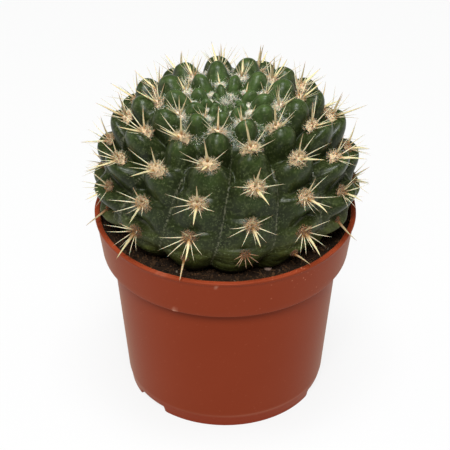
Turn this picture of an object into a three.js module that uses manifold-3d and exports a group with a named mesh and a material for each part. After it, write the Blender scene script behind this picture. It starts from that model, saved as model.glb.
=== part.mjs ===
// A potted globular cactus (Parodia mammulosa) in a terracotta-coloured plastic nursery pot.
// Millimetres, +Z up. The origin is the middle of the pot's foot, on the surface that it stands on.
import * as THREE from 'three';
import * as BufferGeometryUtils from 'three/addons/utils/BufferGeometryUtils.js';
import Module from 'manifold-3d';

// Driving dimensions of the pot: an 8.5 cm nursery pot.
const POT_HEIGHT = 65.6;
const RIM_RADIUS = 42.5;
const COLLAR_HEIGHT = 14.5;
const COLLAR_FOOT_RADIUS = 40.2;
const BODY_TOP_RADIUS = 37.1;
const BODY_FOOT_RADIUS = 33.0;
const FOOT_STRIP_HEIGHT = 4.8;
const FOOT_RADIUS = 32.1;
const WALL = 1.3;
const LIP_WALL = 1.7;
const LIP_HEIGHT = 2;
const FLOOR_LIFT = 2.2;
const FOOT_RING_WIDTH = 2.4;
const STEP_FILLET = 0.9;
const POT_SIDES = 48;
const NOTCH_WIDTH = 12;
const NOTCH_HEIGHT = 2;
const NOTCH_AZIMUTHS = [-20, 100, 220];
const DRAIN_RADIUS = 3.5;
const DRAIN_SIDES = 8;
const DRAIN_CIRCLE_RADIUS = 18;
const DRAIN_COUNT = 6;

// Driving dimensions of the soil.
const SOIL_LEVEL = 60;
const SOIL_RELIEF = 0.5;
const SOIL_SIDES = 39;
const SOIL_RINGS = 3;
const SOIL_INNER_RING = 24;
const SEAT_GAP = 0.3;
const SEAT_ROW_ANGLE = 11.25;
const SEAT_SIDES = 39;

// Driving dimensions of the cactus: a flattened globe on a slightly leaning axis.
const GLOBE_RADIUS = 39;
const GLOBE_OVAL = 0.023;
const GLOBE_RISE = 32.1;
const GLOBE_DROP = 24;
const GLOBE_CENTRE = new THREE.Vector3(0.55, -0.13, 76.3);
const GLOBE_LEAN = new THREE.Vector3(-0.019, -0.009, 1);

// Growth rule: areole n is one divergence angle further round than areole n - 1 and a little lower.
// Every thirteenth areole stands on the same rib, so there are thirteen slightly twisted ribs.
const RIBS = 13;
const RIB_STRIDE = 5;
const DIVERGENCE = 138.205;
const FIRST_AZIMUTH = 11.6;
const AREOLE_STEP = 19.13;
const CROWN_ONSET = 4;
const CROWN_SOFTNESS = 0.685;
const YOUNGEST_AREOLE = -55;
const BARE_CROWN = -46;
const YOUNG_CROWN = -42;
const AGED_AREOLE = 13;
const SPENT_AREOLE = 15;
const OLDEST_AREOLE = 21;
const BROKEN_CENTRAL = 13;

// Tubercles: each areole stands on the upper flank of a rounded chin.
const NOTCH_DEPTH = 7.4;
const NOTCH_FADE = [88, 126];
const NOTCH_NARROWING = [50, 85];
const GROOVE_DEPTH = 5.9;
const GROOVE_FADE = [55, 126];
const GROOVE_POWER = 2.4;
const FULL_SIZE = 9;
const CREASE_ABOVE_AREOLE = 0.17;
const CHIN_BELOW_CREASE = 0.35;
const CREASE_ROUNDING = 0.08;
const NEIGHBOUR_REACH = 21;

// Young tubercles of the crown: separate domes with their areoles in the valleys between them.
const DOME_DEPTH = 9;
const DOME_FULL_SIZE = 6.5;
const DOME_POWER = 2.7;
const DOME_FADE = [30, 52];
const BACK_DOME_FADE = [34, 60];
const DOME_VALLEY = 0.56;
const VALLEY_FADE = [34, 56];
const VALLEY_DROP = 20;
const YOUNG_PLACE_FADE = [16, 34];
const BACK_YOUNG_PLACE_FADE = [27, 60];
const DOME_CREASE_ABOVE_AREOLE = 0.04;
const DOME_BELOW_CREASE = 0.5;
const SMALLEST_DEPTH = 0.001;

// The plant is fuller than an ellipsoid at its shoulder and sunken at the growing point.
const SHOULDER_LIFT = 2.6;
const SHOULDER_RISE = [8, 34];
const SHOULDER_FALL = [44, 80];
const APEX_DIMPLE = 3.6;
const APEX_DIMPLE_REACH = 27;

// The swollen front flank, where the notches are shallow: azimuth, half widths and rows in degrees.
const SWOLLEN_AZIMUTH = -3;
const SWOLLEN_SPREAD = [28, 55];
const SWOLLEN_ROWS = [36, 62];
const SWOLLEN_SHARE = 0.8;
const SWOLLEN_GROOVE_SHARE = 0.45;
const SWOLLEN_LIFT = 1;

// On the viewer's side the tops of the chins are flat as far as the areoles.
const FLAT_SPREAD = [40, 75];
const FLAT_ROWS = [18, 34];
const FLAT_POWER = 5;

// Mesh of the plant body: the columns of one rib, the rows of one tubercle, and the rows underground.
const RIB_COLUMNS = [-0.33, -0.14, 0, 0.14, 0.33, 0.5];
const TUBERCLE_ROWS = [-0.17, 0, 0.18, 0.42, 0.64];
const CROWN_EDGE = -4.35;
const SOIL_EDGE = 2.85;
const BURIED_ANGLE = 155;

// Wool pads and spines.
const PAD_WIDTH = 5.6;
const PAD_LENGTH = 4;
const PAD_HEIGHT = 1.2;
const YOUNG_SIZE = 5;
const GROWN_SIZE = 12;
const YOUNG_PAD_SCALE = 0.5;
const AGED_PAD_SHARE = 0.6;
const SPENT_PAD_SHARE = 0.35;
const YOUNG_SPINE_SCALE = 0.3;
const YOUNG_SPINE_WIDTH = 0.5;
const AGED_RADIAL_SHARE = 0.45;
const AREOLE_TILT = 10;
const ROOT_SINK = 1;
const ROOT_LIFT = 1.4;
const REACH_RADIUS = 46.6;
const SPINE_SOIL_CLEARANCE = 1.6;
const SPINE_RIM_CLEARANCE = 1.3;
const RIM_ZONE = [34.5, 37.5];

// Kinds of spine: turns round the areole (0 is down) and the number of each turn's draws, rise over its
// plane, extra rise of young ones, of those that point down and of those that point up, length, width,
// distance of the root from the areole's middle, and how far each may vary.
const RADIAL = {
  turns: [-118, -70, -30, 44, 98, 8], draws: [0, 1, 2, 3, 4, 70],
  rise: 28, youngRise: 25, downRise: 18, upRise: 20, length: 8.8, width: 0.7, outset: 0.9,
  turnSpread: 8, riseSpread: 8, lengthSpread: 0.14,
};
const LOWER_CENTRAL = {
  turns: [0], draws: [5],
  rise: 40, youngRise: 20, downRise: 0, upRise: 0, length: 13, width: 1.15, outset: 0.3,
  turnSpread: 24, riseSpread: 10, lengthSpread: 0.12,
};
const UPPER_CENTRAL = {
  turns: [180], draws: [6],
  rise: 52, youngRise: 0, downRise: 0, upRise: 0, length: 8.8, width: 1.05, outset: 0.3,
  turnSpread: 20, riseSpread: 10, lengthSpread: 0.15,
};
const CROWN_SPINE_RISE = 12;
const CROWN_SPINE_FADE = [50, 80];
const RADIAL_SHORTEST = 0.68;
const RADIAL_SIDE_GAIN = 0.36;
const LOW_UPPER_CENTRAL_SHARE = 0.72;
const UPPER_CENTRAL_ROWS = [62, 92];
const YOUNG_LOWER_CENTRAL_SHARE = 0.7;
const LOWER_CENTRAL_ROWS = [44, 72];

// A spine rises in steps until these shares of its length stand clear of the skin.
const CLEAR_SAMPLES = [0.2, 0.35, 0.5, 0.7, 0.9];
const CLEAR_HEIGHT = 0.35;
const CLEAR_ANGLE = 5;
const CLEAR_STEPS = 10;
const STEEPEST_RISE = 80;
const SMALLEST_ANGLE = 1;

// Multipliers and purposes of the repeatable draws.
const DRAW_SEED = [12.9898, 78.233, 43758.5453];
const LENGTH_DRAW = 0;
const RISE_DRAW = 10;
const TURN_DRAW = 20;
const SOIL_DRAW = 50;

const POT_COLOR = 0x9a4a2c;
const SOIL_COLOR = 0x2a211c;
const PLANT_COLOR = 0x3b5a3a;
const POT_ROUGHNESS = 0.5;
const SOIL_ROUGHNESS = 0.95;
const PLANT_ROUGHNESS = 0.5;

const DEG = Math.PI / 180;
const NOTCH_CUT_DEPTH = 8;
const DRAIN_CUT_LENGTH = 3 * WALL;
const MERGE_DISTANCE = 1e-4;

const wasm = await Module();
wasm.setup();

function solidOf(geometry) {
  const plain = geometry.index ? geometry.clone() : BufferGeometryUtils.mergeVertices(geometry);
  plain.deleteAttribute('normal');
  plain.deleteAttribute('uv');
  const merged = BufferGeometryUtils.mergeVertices(plain, MERGE_DISTANCE);
  const vertProperties = new Float32Array(merged.attributes.position.array);
  const triVerts = withoutSlivers(merged.index.array);
  return new wasm.Manifold(new wasm.Mesh({ numProp: 3, vertProperties, triVerts }));
}

// Triangles whose corners were merged into one another are left out.
function withoutSlivers(index) {
  const kept = [];
  for (let i = 0; i < index.length; i += 3) {
    const [a, b, c] = [index[i], index[i + 1], index[i + 2]];
    if (a !== b && b !== c && c !== a) kept.push(a, b, c);
  }
  return new Uint32Array(kept);
}

function geometryOf(solid) {
  const { numProp, vertProperties, triVerts } = solid.getMesh();
  const count = vertProperties.length / numProp;
  const position = new Float32Array(count * 3);
  for (let i = 0; i < count; i++) {
    for (let k = 0; k < 3; k++) position[3 * i + k] = vertProperties[numProp * i + k];
  }
  const geometry = new THREE.BufferGeometry();
  geometry.setAttribute('position', new THREE.BufferAttribute(position, 3));
  geometry.setIndex(new THREE.BufferAttribute(new Uint32Array(triVerts), 1));
  return geometry;
}

function namedMesh(name, geometry, color, roughness) {
  geometry.computeVertexNormals();
  const material = new THREE.MeshStandardMaterial({ color, roughness, metalness: 0 });
  const mesh = new THREE.Mesh(geometry, material);
  mesh.name = name;
  return mesh;
}

// A solid of revolution about +Z from a profile of [radius, height] points.
function turned(profile, sides) {
  const points = profile.map(([r, z]) => new THREE.Vector2(r, z));
  return new THREE.LatheGeometry(points, sides).rotateX(Math.PI / 2);
}

// A repeatable draw between 0 and 1 for areole n and purpose k.
function draw(n, k) {
  const wave = Math.sin(n * DRAW_SEED[0] + k * DRAW_SEED[1]) * DRAW_SEED[2];
  return wave - Math.floor(wave);
}

function spread(n, k, amount) {
  return (2 * draw(n, k) - 1) * amount;
}

// The pot's outer wall below the step, at height z.
function bodyRadius(z) {
  const t = (z - FOOT_STRIP_HEIGHT) / (POT_HEIGHT - COLLAR_HEIGHT - FOOT_STRIP_HEIGHT);
  return BODY_FOOT_RADIUS + t * (BODY_TOP_RADIUS - BODY_FOOT_RADIUS);
}

// The collar's outer wall, at height z.
function collarRadius(z) {
  const t = (z - (POT_HEIGHT - COLLAR_HEIGHT)) / COLLAR_HEIGHT;
  return COLLAR_FOOT_RADIUS + t * (RIM_RADIUS - COLLAR_FOOT_RADIUS);
}

function potProfile() {
  const stepZ = POT_HEIGHT - COLLAR_HEIGHT;
  const ledgeZ = stepZ + WALL;
  const lipZ = POT_HEIGHT - LIP_HEIGHT;
  const floorTop = FLOOR_LIFT + WALL;
  return [
    [0, FLOOR_LIFT],
    [FOOT_RADIUS - FOOT_RING_WIDTH, FLOOR_LIFT],
    [FOOT_RADIUS - FOOT_RING_WIDTH, 0],
    [FOOT_RADIUS, 0],
    [bodyRadius(FOOT_STRIP_HEIGHT), FOOT_STRIP_HEIGHT],
    [bodyRadius(stepZ - STEP_FILLET), stepZ - STEP_FILLET],
    [bodyRadius(stepZ) + STEP_FILLET, stepZ],
    [COLLAR_FOOT_RADIUS, stepZ],
    [RIM_RADIUS, POT_HEIGHT],
    [RIM_RADIUS - LIP_WALL, POT_HEIGHT],
    [collarRadius(lipZ) - LIP_WALL, lipZ],
    [collarRadius(lipZ) - WALL, lipZ],
    [collarRadius(ledgeZ) - WALL, ledgeZ],
    [bodyRadius(stepZ) - WALL, ledgeZ],
    [bodyRadius(floorTop) - WALL, floorTop],
    [0, floorTop],
  ];
}

// Three drainage notches in the foot ring, and the holes in the floor.
function potCuts() {
  const cuts = [];
  for (const azimuth of NOTCH_AZIMUTHS) {
    const notch = new THREE.BoxGeometry(NOTCH_CUT_DEPTH, NOTCH_WIDTH, 2 * NOTCH_HEIGHT);
    notch.translate(FOOT_RADIUS, 0, 0).rotateZ(azimuth * DEG);
    cuts.push(solidOf(notch));
  }
  const drain = () => new THREE.CylinderGeometry(
    DRAIN_RADIUS, DRAIN_RADIUS, DRAIN_CUT_LENGTH, DRAIN_SIDES)
    .rotateX(Math.PI / 2).translate(0, 0, FLOOR_LIFT + WALL / 2);
  cuts.push(solidOf(drain()));
  for (let i = 0; i < DRAIN_COUNT; i++) {
    const hole = drain().translate(DRAIN_CIRCLE_RADIUS, 0, 0).rotateZ(i * 360 / DRAIN_COUNT * DEG);
    cuts.push(solidOf(hole));
  }
  return cuts;
}

function pot() {
  let solid = solidOf(turned(potProfile(), POT_SIDES));
  for (const cut of potCuts()) solid = solid.subtract(cut);
  return namedMesh('pot', geometryOf(solid), POT_COLOR, POT_ROUGHNESS);
}

// Angle from the apex, in degrees, of the growth position m (areole number over rib count).
function apexAngle(m) {
  return AREOLE_STEP * CROWN_SOFTNESS * Math.log1p(Math.exp((m + CROWN_ONSET) / CROWN_SOFTNESS));
}

// The growth position at an angle from the apex.
function growthPosition(angle) {
  return CROWN_SOFTNESS * Math.log(Math.expm1(angle / (AREOLE_STEP * CROWN_SOFTNESS))) - CROWN_ONSET;
}

function globeDrop(angle) {
  return angle > 90 ? GLOBE_DROP : GLOBE_RISE;
}

const leanTurn = new THREE.Quaternion().setFromUnitVectors(
  new THREE.Vector3(0, 0, 1), GLOBE_LEAN.clone().normalize());

// A point of the leaning globe: angle from the apex and azimuth in degrees, lift along its normal.
// The globe is a little wider from side to side than from front to back.
function globePoint(angle, azimuth, lift) {
  const [sinA, cosA] = [Math.sin(angle * DEG), Math.cos(angle * DEG)];
  const [sinZ, cosZ] = [Math.sin(azimuth * DEG), Math.cos(azimuth * DEG)];
  const height = globeDrop(angle);
  const radius = GLOBE_RADIUS * (1 - GLOBE_OVAL * Math.cos(2 * azimuth * DEG));
  const normal = new THREE.Vector3(sinA * sinZ / radius, -sinA * cosZ / radius, cosA / height);
  normal.normalize();
  const point = new THREE.Vector3(radius * sinA * sinZ, -radius * sinA * cosZ, height * cosA);
  point.addScaledVector(normal, lift).applyQuaternion(leanTurn).add(GLOBE_CENTRE);
  return { point, normal: normal.applyQuaternion(leanTurn) };
}

// Length along the globe's meridian for one degree at this angle.
function meridianScale(angle) {
  const height = globeDrop(angle);
  return DEG * Math.hypot(GLOBE_RADIUS * Math.cos(angle * DEG), height * Math.sin(angle * DEG));
}

// Width of a rib and height of a tubercle's step at growth position m, with the tubercle's mean size.
function tubercleSize(m) {
  const angle = apexAngle(m);
  const width = 2 * Math.PI * GLOBE_RADIUS * Math.sin(angle * DEG) / RIBS;
  const step = (apexAngle(m + 0.5) - apexAngle(m - 0.5)) * meridianScale(angle);
  const size = Math.sqrt(width * step);
  const stretch = Math.sqrt(Math.max(1, width / step));
  return { angle, size, halfWidth: size * stretch / 2, length: size / stretch };
}

function smoothStep(from, to, value) {
  const t = Math.min(1, Math.max(0, (value - from) / (to - from)));
  return t * t * (3 - 2 * t);
}

// Follows a share up to about 1 and eases off there.
function softCap(share) {
  return share / (1 + share ** 4) ** 0.25;
}

// How deep a crease is: less on the small young tubercles, fading out towards the soil.
function creaseDepth(full, fade, angle, size) {
  return full * softCap(size / FULL_SIZE) * (1 - smoothStep(fade[0], fade[1], angle));
}

// How far the crown stands over the ellipsoid: up at the shoulder, down at the growing point.
function crownForm(angle) {
  const shoulder = smoothStep(SHOULDER_RISE[0], SHOULDER_RISE[1], angle)
    * (1 - smoothStep(SHOULDER_FALL[0], SHOULDER_FALL[1], angle));
  return SHOULDER_LIFT * shoulder - APEX_DIMPLE * (1 - smoothStep(0, APEX_DIMPLE_REACH, angle));
}

// 1 on the swollen flank that faces the viewer low down, where the relief is nearly smooth.
function swelling(angle, azimuth) {
  const away = Math.abs(wrapDegrees(azimuth - SWOLLEN_AZIMUTH));
  const near = 1 - smoothStep(SWOLLEN_SPREAD[0], SWOLLEN_SPREAD[1], away);
  return near * smoothStep(SWOLLEN_ROWS[0], SWOLLEN_ROWS[1], angle);
}

// 1 on the side that faces the viewer, 0 behind.
function frontShare(azimuth) {
  const away = Math.abs(wrapDegrees(azimuth - SWOLLEN_AZIMUTH));
  return 1 - smoothStep(FLAT_SPREAD[0], FLAT_SPREAD[1], away);
}

// 1 on young rows, falling to 0 over rows that lie further down behind than in front.
function youth(angle, front, frontRows, backRows) {
  const { lerp } = THREE.MathUtils;
  return 1 - smoothStep(lerp(backRows[0], frontRows[0], front), lerp(backRows[1], frontRows[1], front), angle);
}

// Fall from the chin (0) steeply up to the crease above it (-1), and gently down to the next one (1).
function fallShare(x, flat) {
  const reach = Math.min(1, Math.abs(x));
  const bend = 1 - Math.cos(Math.PI * reach);
  if (x >= 0) return 0.5 * x * x + 0.25 * bend;
  return THREE.MathUtils.lerp(0.5 * bend, reach ** FLAT_POWER, flat) + Math.max(0, -x - 1);
}

function wrapDegrees(angle) {
  return angle - 360 * Math.round(angle / 360);
}

function areoleAzimuth(n) {
  return FIRST_AZIMUTH + n * DIVERGENCE;
}

// Height of the skin over the areole level. In the crown the tubercles are separate domes; further
// down they are chins of a rib, parted by notches that die out towards the grooves beside the rib.
function relief(m, azimuth) {
  const { lerp } = THREE.MathUtils;
  const { angle, size, halfWidth, length } = tubercleSize(m);
  const swollen = swelling(angle, azimuth);
  const front = frontShare(azimuth);
  const flat = front * smoothStep(FLAT_ROWS[0], FLAT_ROWS[1], angle);
  const notch = creaseDepth(NOTCH_DEPTH, NOTCH_FADE, angle, size) * (1 - SWOLLEN_SHARE * swollen);
  const groove = creaseDepth(GROOVE_DEPTH, GROOVE_FADE, angle, size)
    * (1 - SWOLLEN_GROOVE_SHARE * swollen);
  const dome = youth(angle, front, DOME_FADE, BACK_DOME_FADE) * (1 - swollen);
  const domeDepth = DOME_DEPTH * softCap(size / DOME_FULL_SIZE);
  const young = youth(angle, front, YOUNG_PLACE_FADE, BACK_YOUNG_PLACE_FADE);
  const creaseAbove = lerp(CREASE_ABOVE_AREOLE, DOME_CREASE_ABOVE_AREOLE, young);
  const chinBelow = lerp(CHIN_BELOW_CREASE, DOME_BELOW_CREASE, young);
  const rounding = CREASE_ROUNDING * Math.max(lerp(groove, domeDepth, dome), SMALLEST_DEPTH);
  const narrowing = smoothStep(NOTCH_NARROWING[0], NOTCH_NARROWING[1], angle);
  const around = GLOBE_RADIUS * Math.sin(angle * DEG) * DEG;
  const along = meridianScale(angle);
  const middle = Math.round(RIBS * m);
  const valley = DOME_VALLEY * domeDepth + VALLEY_DROP * smoothStep(VALLEY_FADE[0], VALLEY_FADE[1], angle);
  const heights = [-valley];
  for (let n = middle - NEIGHBOUR_REACH; n <= middle + NEIGHBOUR_REACH; n++) {
    const across = wrapDegrees(azimuth - areoleAzimuth(n)) * around / halfWidth;
    const below = (angle - apexAngle(n / RIBS)) * along / length + creaseAbove;
    const lengthwise = (below - chinBelow) / (below < chinBelow ? chinBelow : 1 - chinBelow);
    const crest = lerp(1, Math.max(0, 1 - across * across), narrowing);
    const ribbed = -groove * Math.abs(across) ** GROOVE_POWER - notch * crest * fallShare(lengthwise, flat);
    const domed = -domeDepth * Math.hypot(across, lengthwise) ** DOME_POWER;
    heights.push(lerp(ribbed, domed, dome));
  }
  const highest = Math.max(...heights);
  const sum = heights.reduce((total, height) => total + Math.exp((height - highest) / rounding), 0);
  const areolePlace = (CREASE_ABOVE_AREOLE - CHIN_BELOW_CREASE) / CHIN_BELOW_CREASE;
  const chinRise = notch * fallShare(areolePlace, flat) + SWOLLEN_LIFT * swollen * (groove / GROOVE_DEPTH);
  return highest + Math.log(sum) * rounding + chinRise + crownForm(angle);
}

// Height of the wool pad over the skin: a low cushion on the nearest areole.
function padHeight(m, azimuth) {
  const angle = apexAngle(m);
  const around = GLOBE_RADIUS * Math.sin(angle * DEG) * DEG;
  const along = meridianScale(angle);
  const middle = Math.round(RIBS * m);
  let height = 0;
  for (let n = middle - NEIGHBOUR_REACH; n <= middle + NEIGHBOUR_REACH; n++) {
    if (n < YOUNGEST_AREOLE || n > OLDEST_AREOLE) continue;
    const scale = padScale(n);
    const across = wrapDegrees(azimuth - areoleAzimuth(n)) * around / (PAD_WIDTH * scale / 2);
    const below = (angle - apexAngle(n / RIBS)) * along / (PAD_LENGTH * scale / 2);
    height = Math.max(height, PAD_HEIGHT * scale * (1 - across ** 2 - below ** 2));
  }
  return height;
}

// How far areole n has grown, from 0 on the smallest tubercles of the crown to 1.
function growth(n) {
  return smoothStep(YOUNG_SIZE, GROWN_SIZE, tubercleSize(n / RIBS).size);
}

// Pads are small on the young tubercles of the crown and worn down on the oldest ones.
function padScale(n) {
  const worn = n >= SPENT_AREOLE ? SPENT_PAD_SHARE : AGED_PAD_SHARE;
  return THREE.MathUtils.lerp(YOUNG_PAD_SCALE, 1, growth(n)) * (n >= AGED_AREOLE ? worn : 1);
}

function skinPoint(m, azimuth) {
  const lift = relief(m, azimuth) + padHeight(m, azimuth);
  return globePoint(apexAngle(m), azimuth, lift).point;
}

function ribAzimuth(u, m) {
  const twist = RIBS * DIVERGENCE - RIB_STRIDE * 360;
  return FIRST_AZIMUTH + u * 360 / RIBS + twist * m;
}

// The plant body. Rows follow the spiral through neighbouring areoles, so that every tubercle has
// the same little net of faces; going once round shifts the rows by the rib stride.
function plantBody() {
  const columns = [];
  for (let rib = 0; rib < RIBS; rib++) RIB_COLUMNS.forEach((u) => columns.push(rib + u));
  const rows = [];
  const lastStep = Math.ceil(SOIL_EDGE) + RIB_STRIDE + 1;
  for (let k = Math.floor(CROWN_EDGE) - RIB_STRIDE; k <= lastStep; k++) {
    TUBERCLE_ROWS.forEach((v) => rows.push(k + v));
  }
  const positions = [];
  const keys = new Map();
  const addVertex = (key, make) => {
    if (!keys.has(key)) {
      keys.set(key, positions.length / 3);
      positions.push(...make().toArray());
    }
    return keys.get(key);
  };
  const gridVertex = (i, j) => {
    const wrapped = i % columns.length;
    const row = i < columns.length ? j : j - RIB_STRIDE * TUBERCLE_ROWS.length;
    const u = columns[wrapped];
    const m = THREE.MathUtils.clamp(rows[row] - RIB_STRIDE * u / RIBS, CROWN_EDGE, SOIL_EDGE);
    const key = `${wrapped} ${m.toFixed(6)}`;
    return addVertex(key, () => skinPoint(m, ribAzimuth(u, m)));
  };
  const buriedVertex = (i) => {
    const wrapped = i % columns.length;
    const azimuth = ribAzimuth(columns[wrapped], SOIL_EDGE);
    return addVertex(`${wrapped} buried`, () => globePoint(BURIED_ANGLE, azimuth, 0).point);
  };
  const triangles = [];
  const addQuad = (a, b, c, d) => {
    const faces = [[a, b, c], [a, c, d]];
    for (const [p, q, r] of faces) if (p !== q && q !== r && r !== p) triangles.push(p, q, r);
  };
  for (let i = 0; i < columns.length; i++) {
    for (let j = RIB_STRIDE * TUBERCLE_ROWS.length; j + 1 < rows.length; j++) {
      addQuad(gridVertex(i, j), gridVertex(i, j + 1), gridVertex(i + 1, j + 1), gridVertex(i + 1, j));
    }
  }
  const crownVertex = (i) => {
    const wrapped = i % columns.length;
    return keys.get(`${wrapped} ${CROWN_EDGE.toFixed(6)}`);
  };
  const soilVertex = (i) => keys.get(`${i % columns.length} ${SOIL_EDGE.toFixed(6)}`);
  const apex = addVertex('apex', () => globePoint(0, 0, relief(CROWN_EDGE, 0)).point);
  const base = addVertex('base', () => globePoint(180, 0, 0).point);
  for (let i = 0; i < columns.length; i++) {
    triangles.push(apex, crownVertex(i), crownVertex(i + 1));
    addQuad(soilVertex(i), buriedVertex(i), buriedVertex(i + 1), soilVertex(i + 1));
    triangles.push(buriedVertex(i), base, buriedVertex(i + 1));
  }
  const geometry = new THREE.BufferGeometry();
  geometry.setAttribute('position', new THREE.Float32BufferAttribute(positions, 3));
  geometry.setIndex(triangles);
  return geometry;
}

// Where areole n sits, which way it faces, and its down and sideways directions. An areole on the
// flank of a chin with a deep notch faces upwards more.
function areoleFrame(n) {
  const m = n / RIBS;
  const { angle, size } = tubercleSize(m);
  const azimuth = areoleAzimuth(n);
  const { normal } = globePoint(angle, azimuth, 0);
  const lift = relief(m, azimuth);
  const { point } = globePoint(angle, azimuth, lift);
  const below = globePoint(angle + 1, azimuth, lift).point;
  const down = below.sub(point).normalize();
  down.addScaledVector(normal, -down.dot(normal)).normalize();
  const side = new THREE.Vector3().crossVectors(down, normal).normalize();
  const tilt = AREOLE_TILT * creaseDepth(1, NOTCH_FADE, angle, size) * DEG;
  const facing = normal.clone().applyAxisAngle(side, tilt);
  const slope = down.clone().applyAxisAngle(side, tilt);
  return { point, facing, slope, side, angle, grown: growth(n) };
}

// A slim three-sided needle from its sunk root to its tip.
function needle(root, tip, width) {
  const axis = tip.clone().sub(root);
  const geometry = new THREE.ConeGeometry(width / 2, axis.length(), 3, 1);
  geometry.translate(0, axis.length() / 2, 0);
  geometry.applyQuaternion(new THREE.Quaternion().setFromUnitVectors(
    new THREE.Vector3(0, 1, 0), axis.clone().normalize()));
  return geometry.translate(root.x, root.y, root.z);
}

// Keeps a spine tip inside the plant's reach, over the soil and clear of the rim.
function clearTip(start, tip) {
  const flat = Math.hypot(tip.x, tip.y);
  if (flat > REACH_RADIUS) {
    const from = Math.hypot(start.x, start.y);
    tip.lerpVectors(start, tip, Math.min(1, (REACH_RADIUS - from) / (flat - from)));
  }
  const radius = Math.hypot(tip.x, tip.y);
  const overRim = smoothStep(RIM_ZONE[0], RIM_ZONE[1], radius);
  const soilFloor = SOIL_LEVEL + SOIL_RELIEF + SPINE_SOIL_CLEARANCE;
  const rimFloor = POT_HEIGHT + SPINE_RIM_CLEARANCE;
  tip.z = Math.max(tip.z, soilFloor + overRim * (rimFloor - soilFloor));
  return tip;
}

// Unit direction at a turn round the areole (0 is down, 90 is sideways) and a rise over its plane.
function spineDirection(frame, turn, rise) {
  return new THREE.Vector3()
    .addScaledVector(frame.slope, Math.cos(turn * DEG) * Math.cos(rise * DEG))
    .addScaledVector(frame.side, Math.sin(turn * DEG) * Math.cos(rise * DEG))
    .addScaledVector(frame.facing, Math.sin(rise * DEG));
}

// How far a point stands over the skin, measured along the globe's normal.
function skinHeight(place) {
  const local = place.clone().sub(GLOBE_CENTRE).applyQuaternion(leanTurn.clone().invert());
  const azimuth = Math.atan2(local.x, -local.y) / DEG;
  const radius = GLOBE_RADIUS * (1 - GLOBE_OVAL * Math.cos(2 * azimuth * DEG));
  const height = local.z < 0 ? GLOBE_DROP : GLOBE_RISE;
  const flat = Math.hypot(local.x, local.y) / radius;
  const angle = Math.max(Math.atan2(flat, local.z / height) / DEG, SMALLEST_ANGLE);
  const { point, normal } = globePoint(angle, azimuth, 0);
  return place.clone().sub(point).dot(normal) - relief(growthPosition(angle), azimuth);
}

// Spines are longest at the sides of an areole; upper centrals shorten down the plant, lower ones grow
// longer, and the radials of old areoles are worn short.
function lengthShare(frame, n, kind, turn) {
  const { lerp } = THREE.MathUtils;
  if (kind === RADIAL) {
    const worn = n >= AGED_AREOLE ? AGED_RADIAL_SHARE : 1;
    return worn * (RADIAL_SHORTEST + RADIAL_SIDE_GAIN * Math.abs(Math.sin(turn * DEG)));
  }
  if (kind === LOWER_CENTRAL) {
    return lerp(YOUNG_LOWER_CENTRAL_SHARE, 1, smoothStep(...LOWER_CENTRAL_ROWS, frame.angle));
  }
  return lerp(1, LOW_UPPER_CENTRAL_SHARE, smoothStep(...UPPER_CENTRAL_ROWS, frame.angle));
}

// The tip of a spine that rises as far as it takes for its length to stand clear of the skin.
function clearedTip(frame, start, turn, firstRise, length) {
  let rise = firstRise;
  let tip = start;
  for (let step = 0; step <= CLEAR_STEPS; step++) {
    tip = clearTip(start, start.clone().addScaledVector(spineDirection(frame, turn, rise), length));
    const end = tip;
    const clear = CLEAR_SAMPLES.every((t) => skinHeight(start.clone().lerp(end, t)) >= CLEAR_HEIGHT);
    if (clear) break;
    rise = Math.min(rise + CLEAR_ANGLE, STEEPEST_RISE);
  }
  return tip;
}

// Spine i of one kind on areole n.
function spine(frame, n, kind, i) {
  const turn = kind.turns[i];
  const k = kind.draws[i];
  const young = 1 - frame.grown;
  const scale = THREE.MathUtils.lerp(YOUNG_SPINE_SCALE, 1, frame.grown);
  const length = kind.length * scale * (1 + spread(n, k + LENGTH_DRAW, kind.lengthSpread))
    * lengthShare(frame, n, kind, turn);
  const down = Math.cos(turn * DEG);
  const rise = kind.rise + kind.youngRise * young + spread(n, k + RISE_DRAW, kind.riseSpread)
    + Math.abs(down) * (down > 0 ? kind.downRise : kind.upRise)
    + CROWN_SPINE_RISE * (1 - smoothStep(...CROWN_SPINE_FADE, frame.angle));
  const swung = turn + spread(n, k + TURN_DRAW, kind.turnSpread);
  const start = frame.point.clone()
    .addScaledVector(spineDirection(frame, turn, 0), kind.outset * scale)
    .addScaledVector(frame.facing, ROOT_LIFT * scale);
  const root = start.clone().addScaledVector(frame.facing, -ROOT_SINK - ROOT_LIFT * scale);
  const width = kind.width * THREE.MathUtils.lerp(YOUNG_SPINE_WIDTH, 1, frame.grown);
  return needle(root, clearedTip(frame, start, swung, rise, length), width);
}

// The middle of the crown is bare, the areoles round it carry one central spine, and the oldest ones
// have lost all but that one. One central has broken off.
function areoleSpines(n) {
  const frame = areoleFrame(n);
  const kinds = [];
  if (n >= BARE_CROWN && n !== BROKEN_CENTRAL) kinds.push(LOWER_CENTRAL);
  if (n >= YOUNG_CROWN && n < SPENT_AREOLE) kinds.push(RADIAL);
  if (n >= YOUNG_CROWN && n < AGED_AREOLE) kinds.push(UPPER_CENTRAL);
  return kinds.flatMap((kind) => kind.turns.map((turn, i) => spine(frame, n, kind, i)));
}

function cactus() {
  const pieces = [solidOf(plantBody())];
  for (let n = YOUNGEST_AREOLE; n <= OLDEST_AREOLE; n++) {
    areoleSpines(n).forEach((geometry) => pieces.push(solidOf(geometry)));
  }
  const grown = wasm.Manifold.union(pieces);
  return namedMesh('cactus', geometryOf(grown), PLANT_COLOR, PLANT_ROUGHNESS);
}

// Small lumps of the soil's top surface.
function soilHeight(ring, side) {
  return SOIL_LEVEL + spread(ring * SOIL_SIDES + side % SOIL_SIDES, SOIL_DRAW, SOIL_RELIEF);
}

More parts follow.
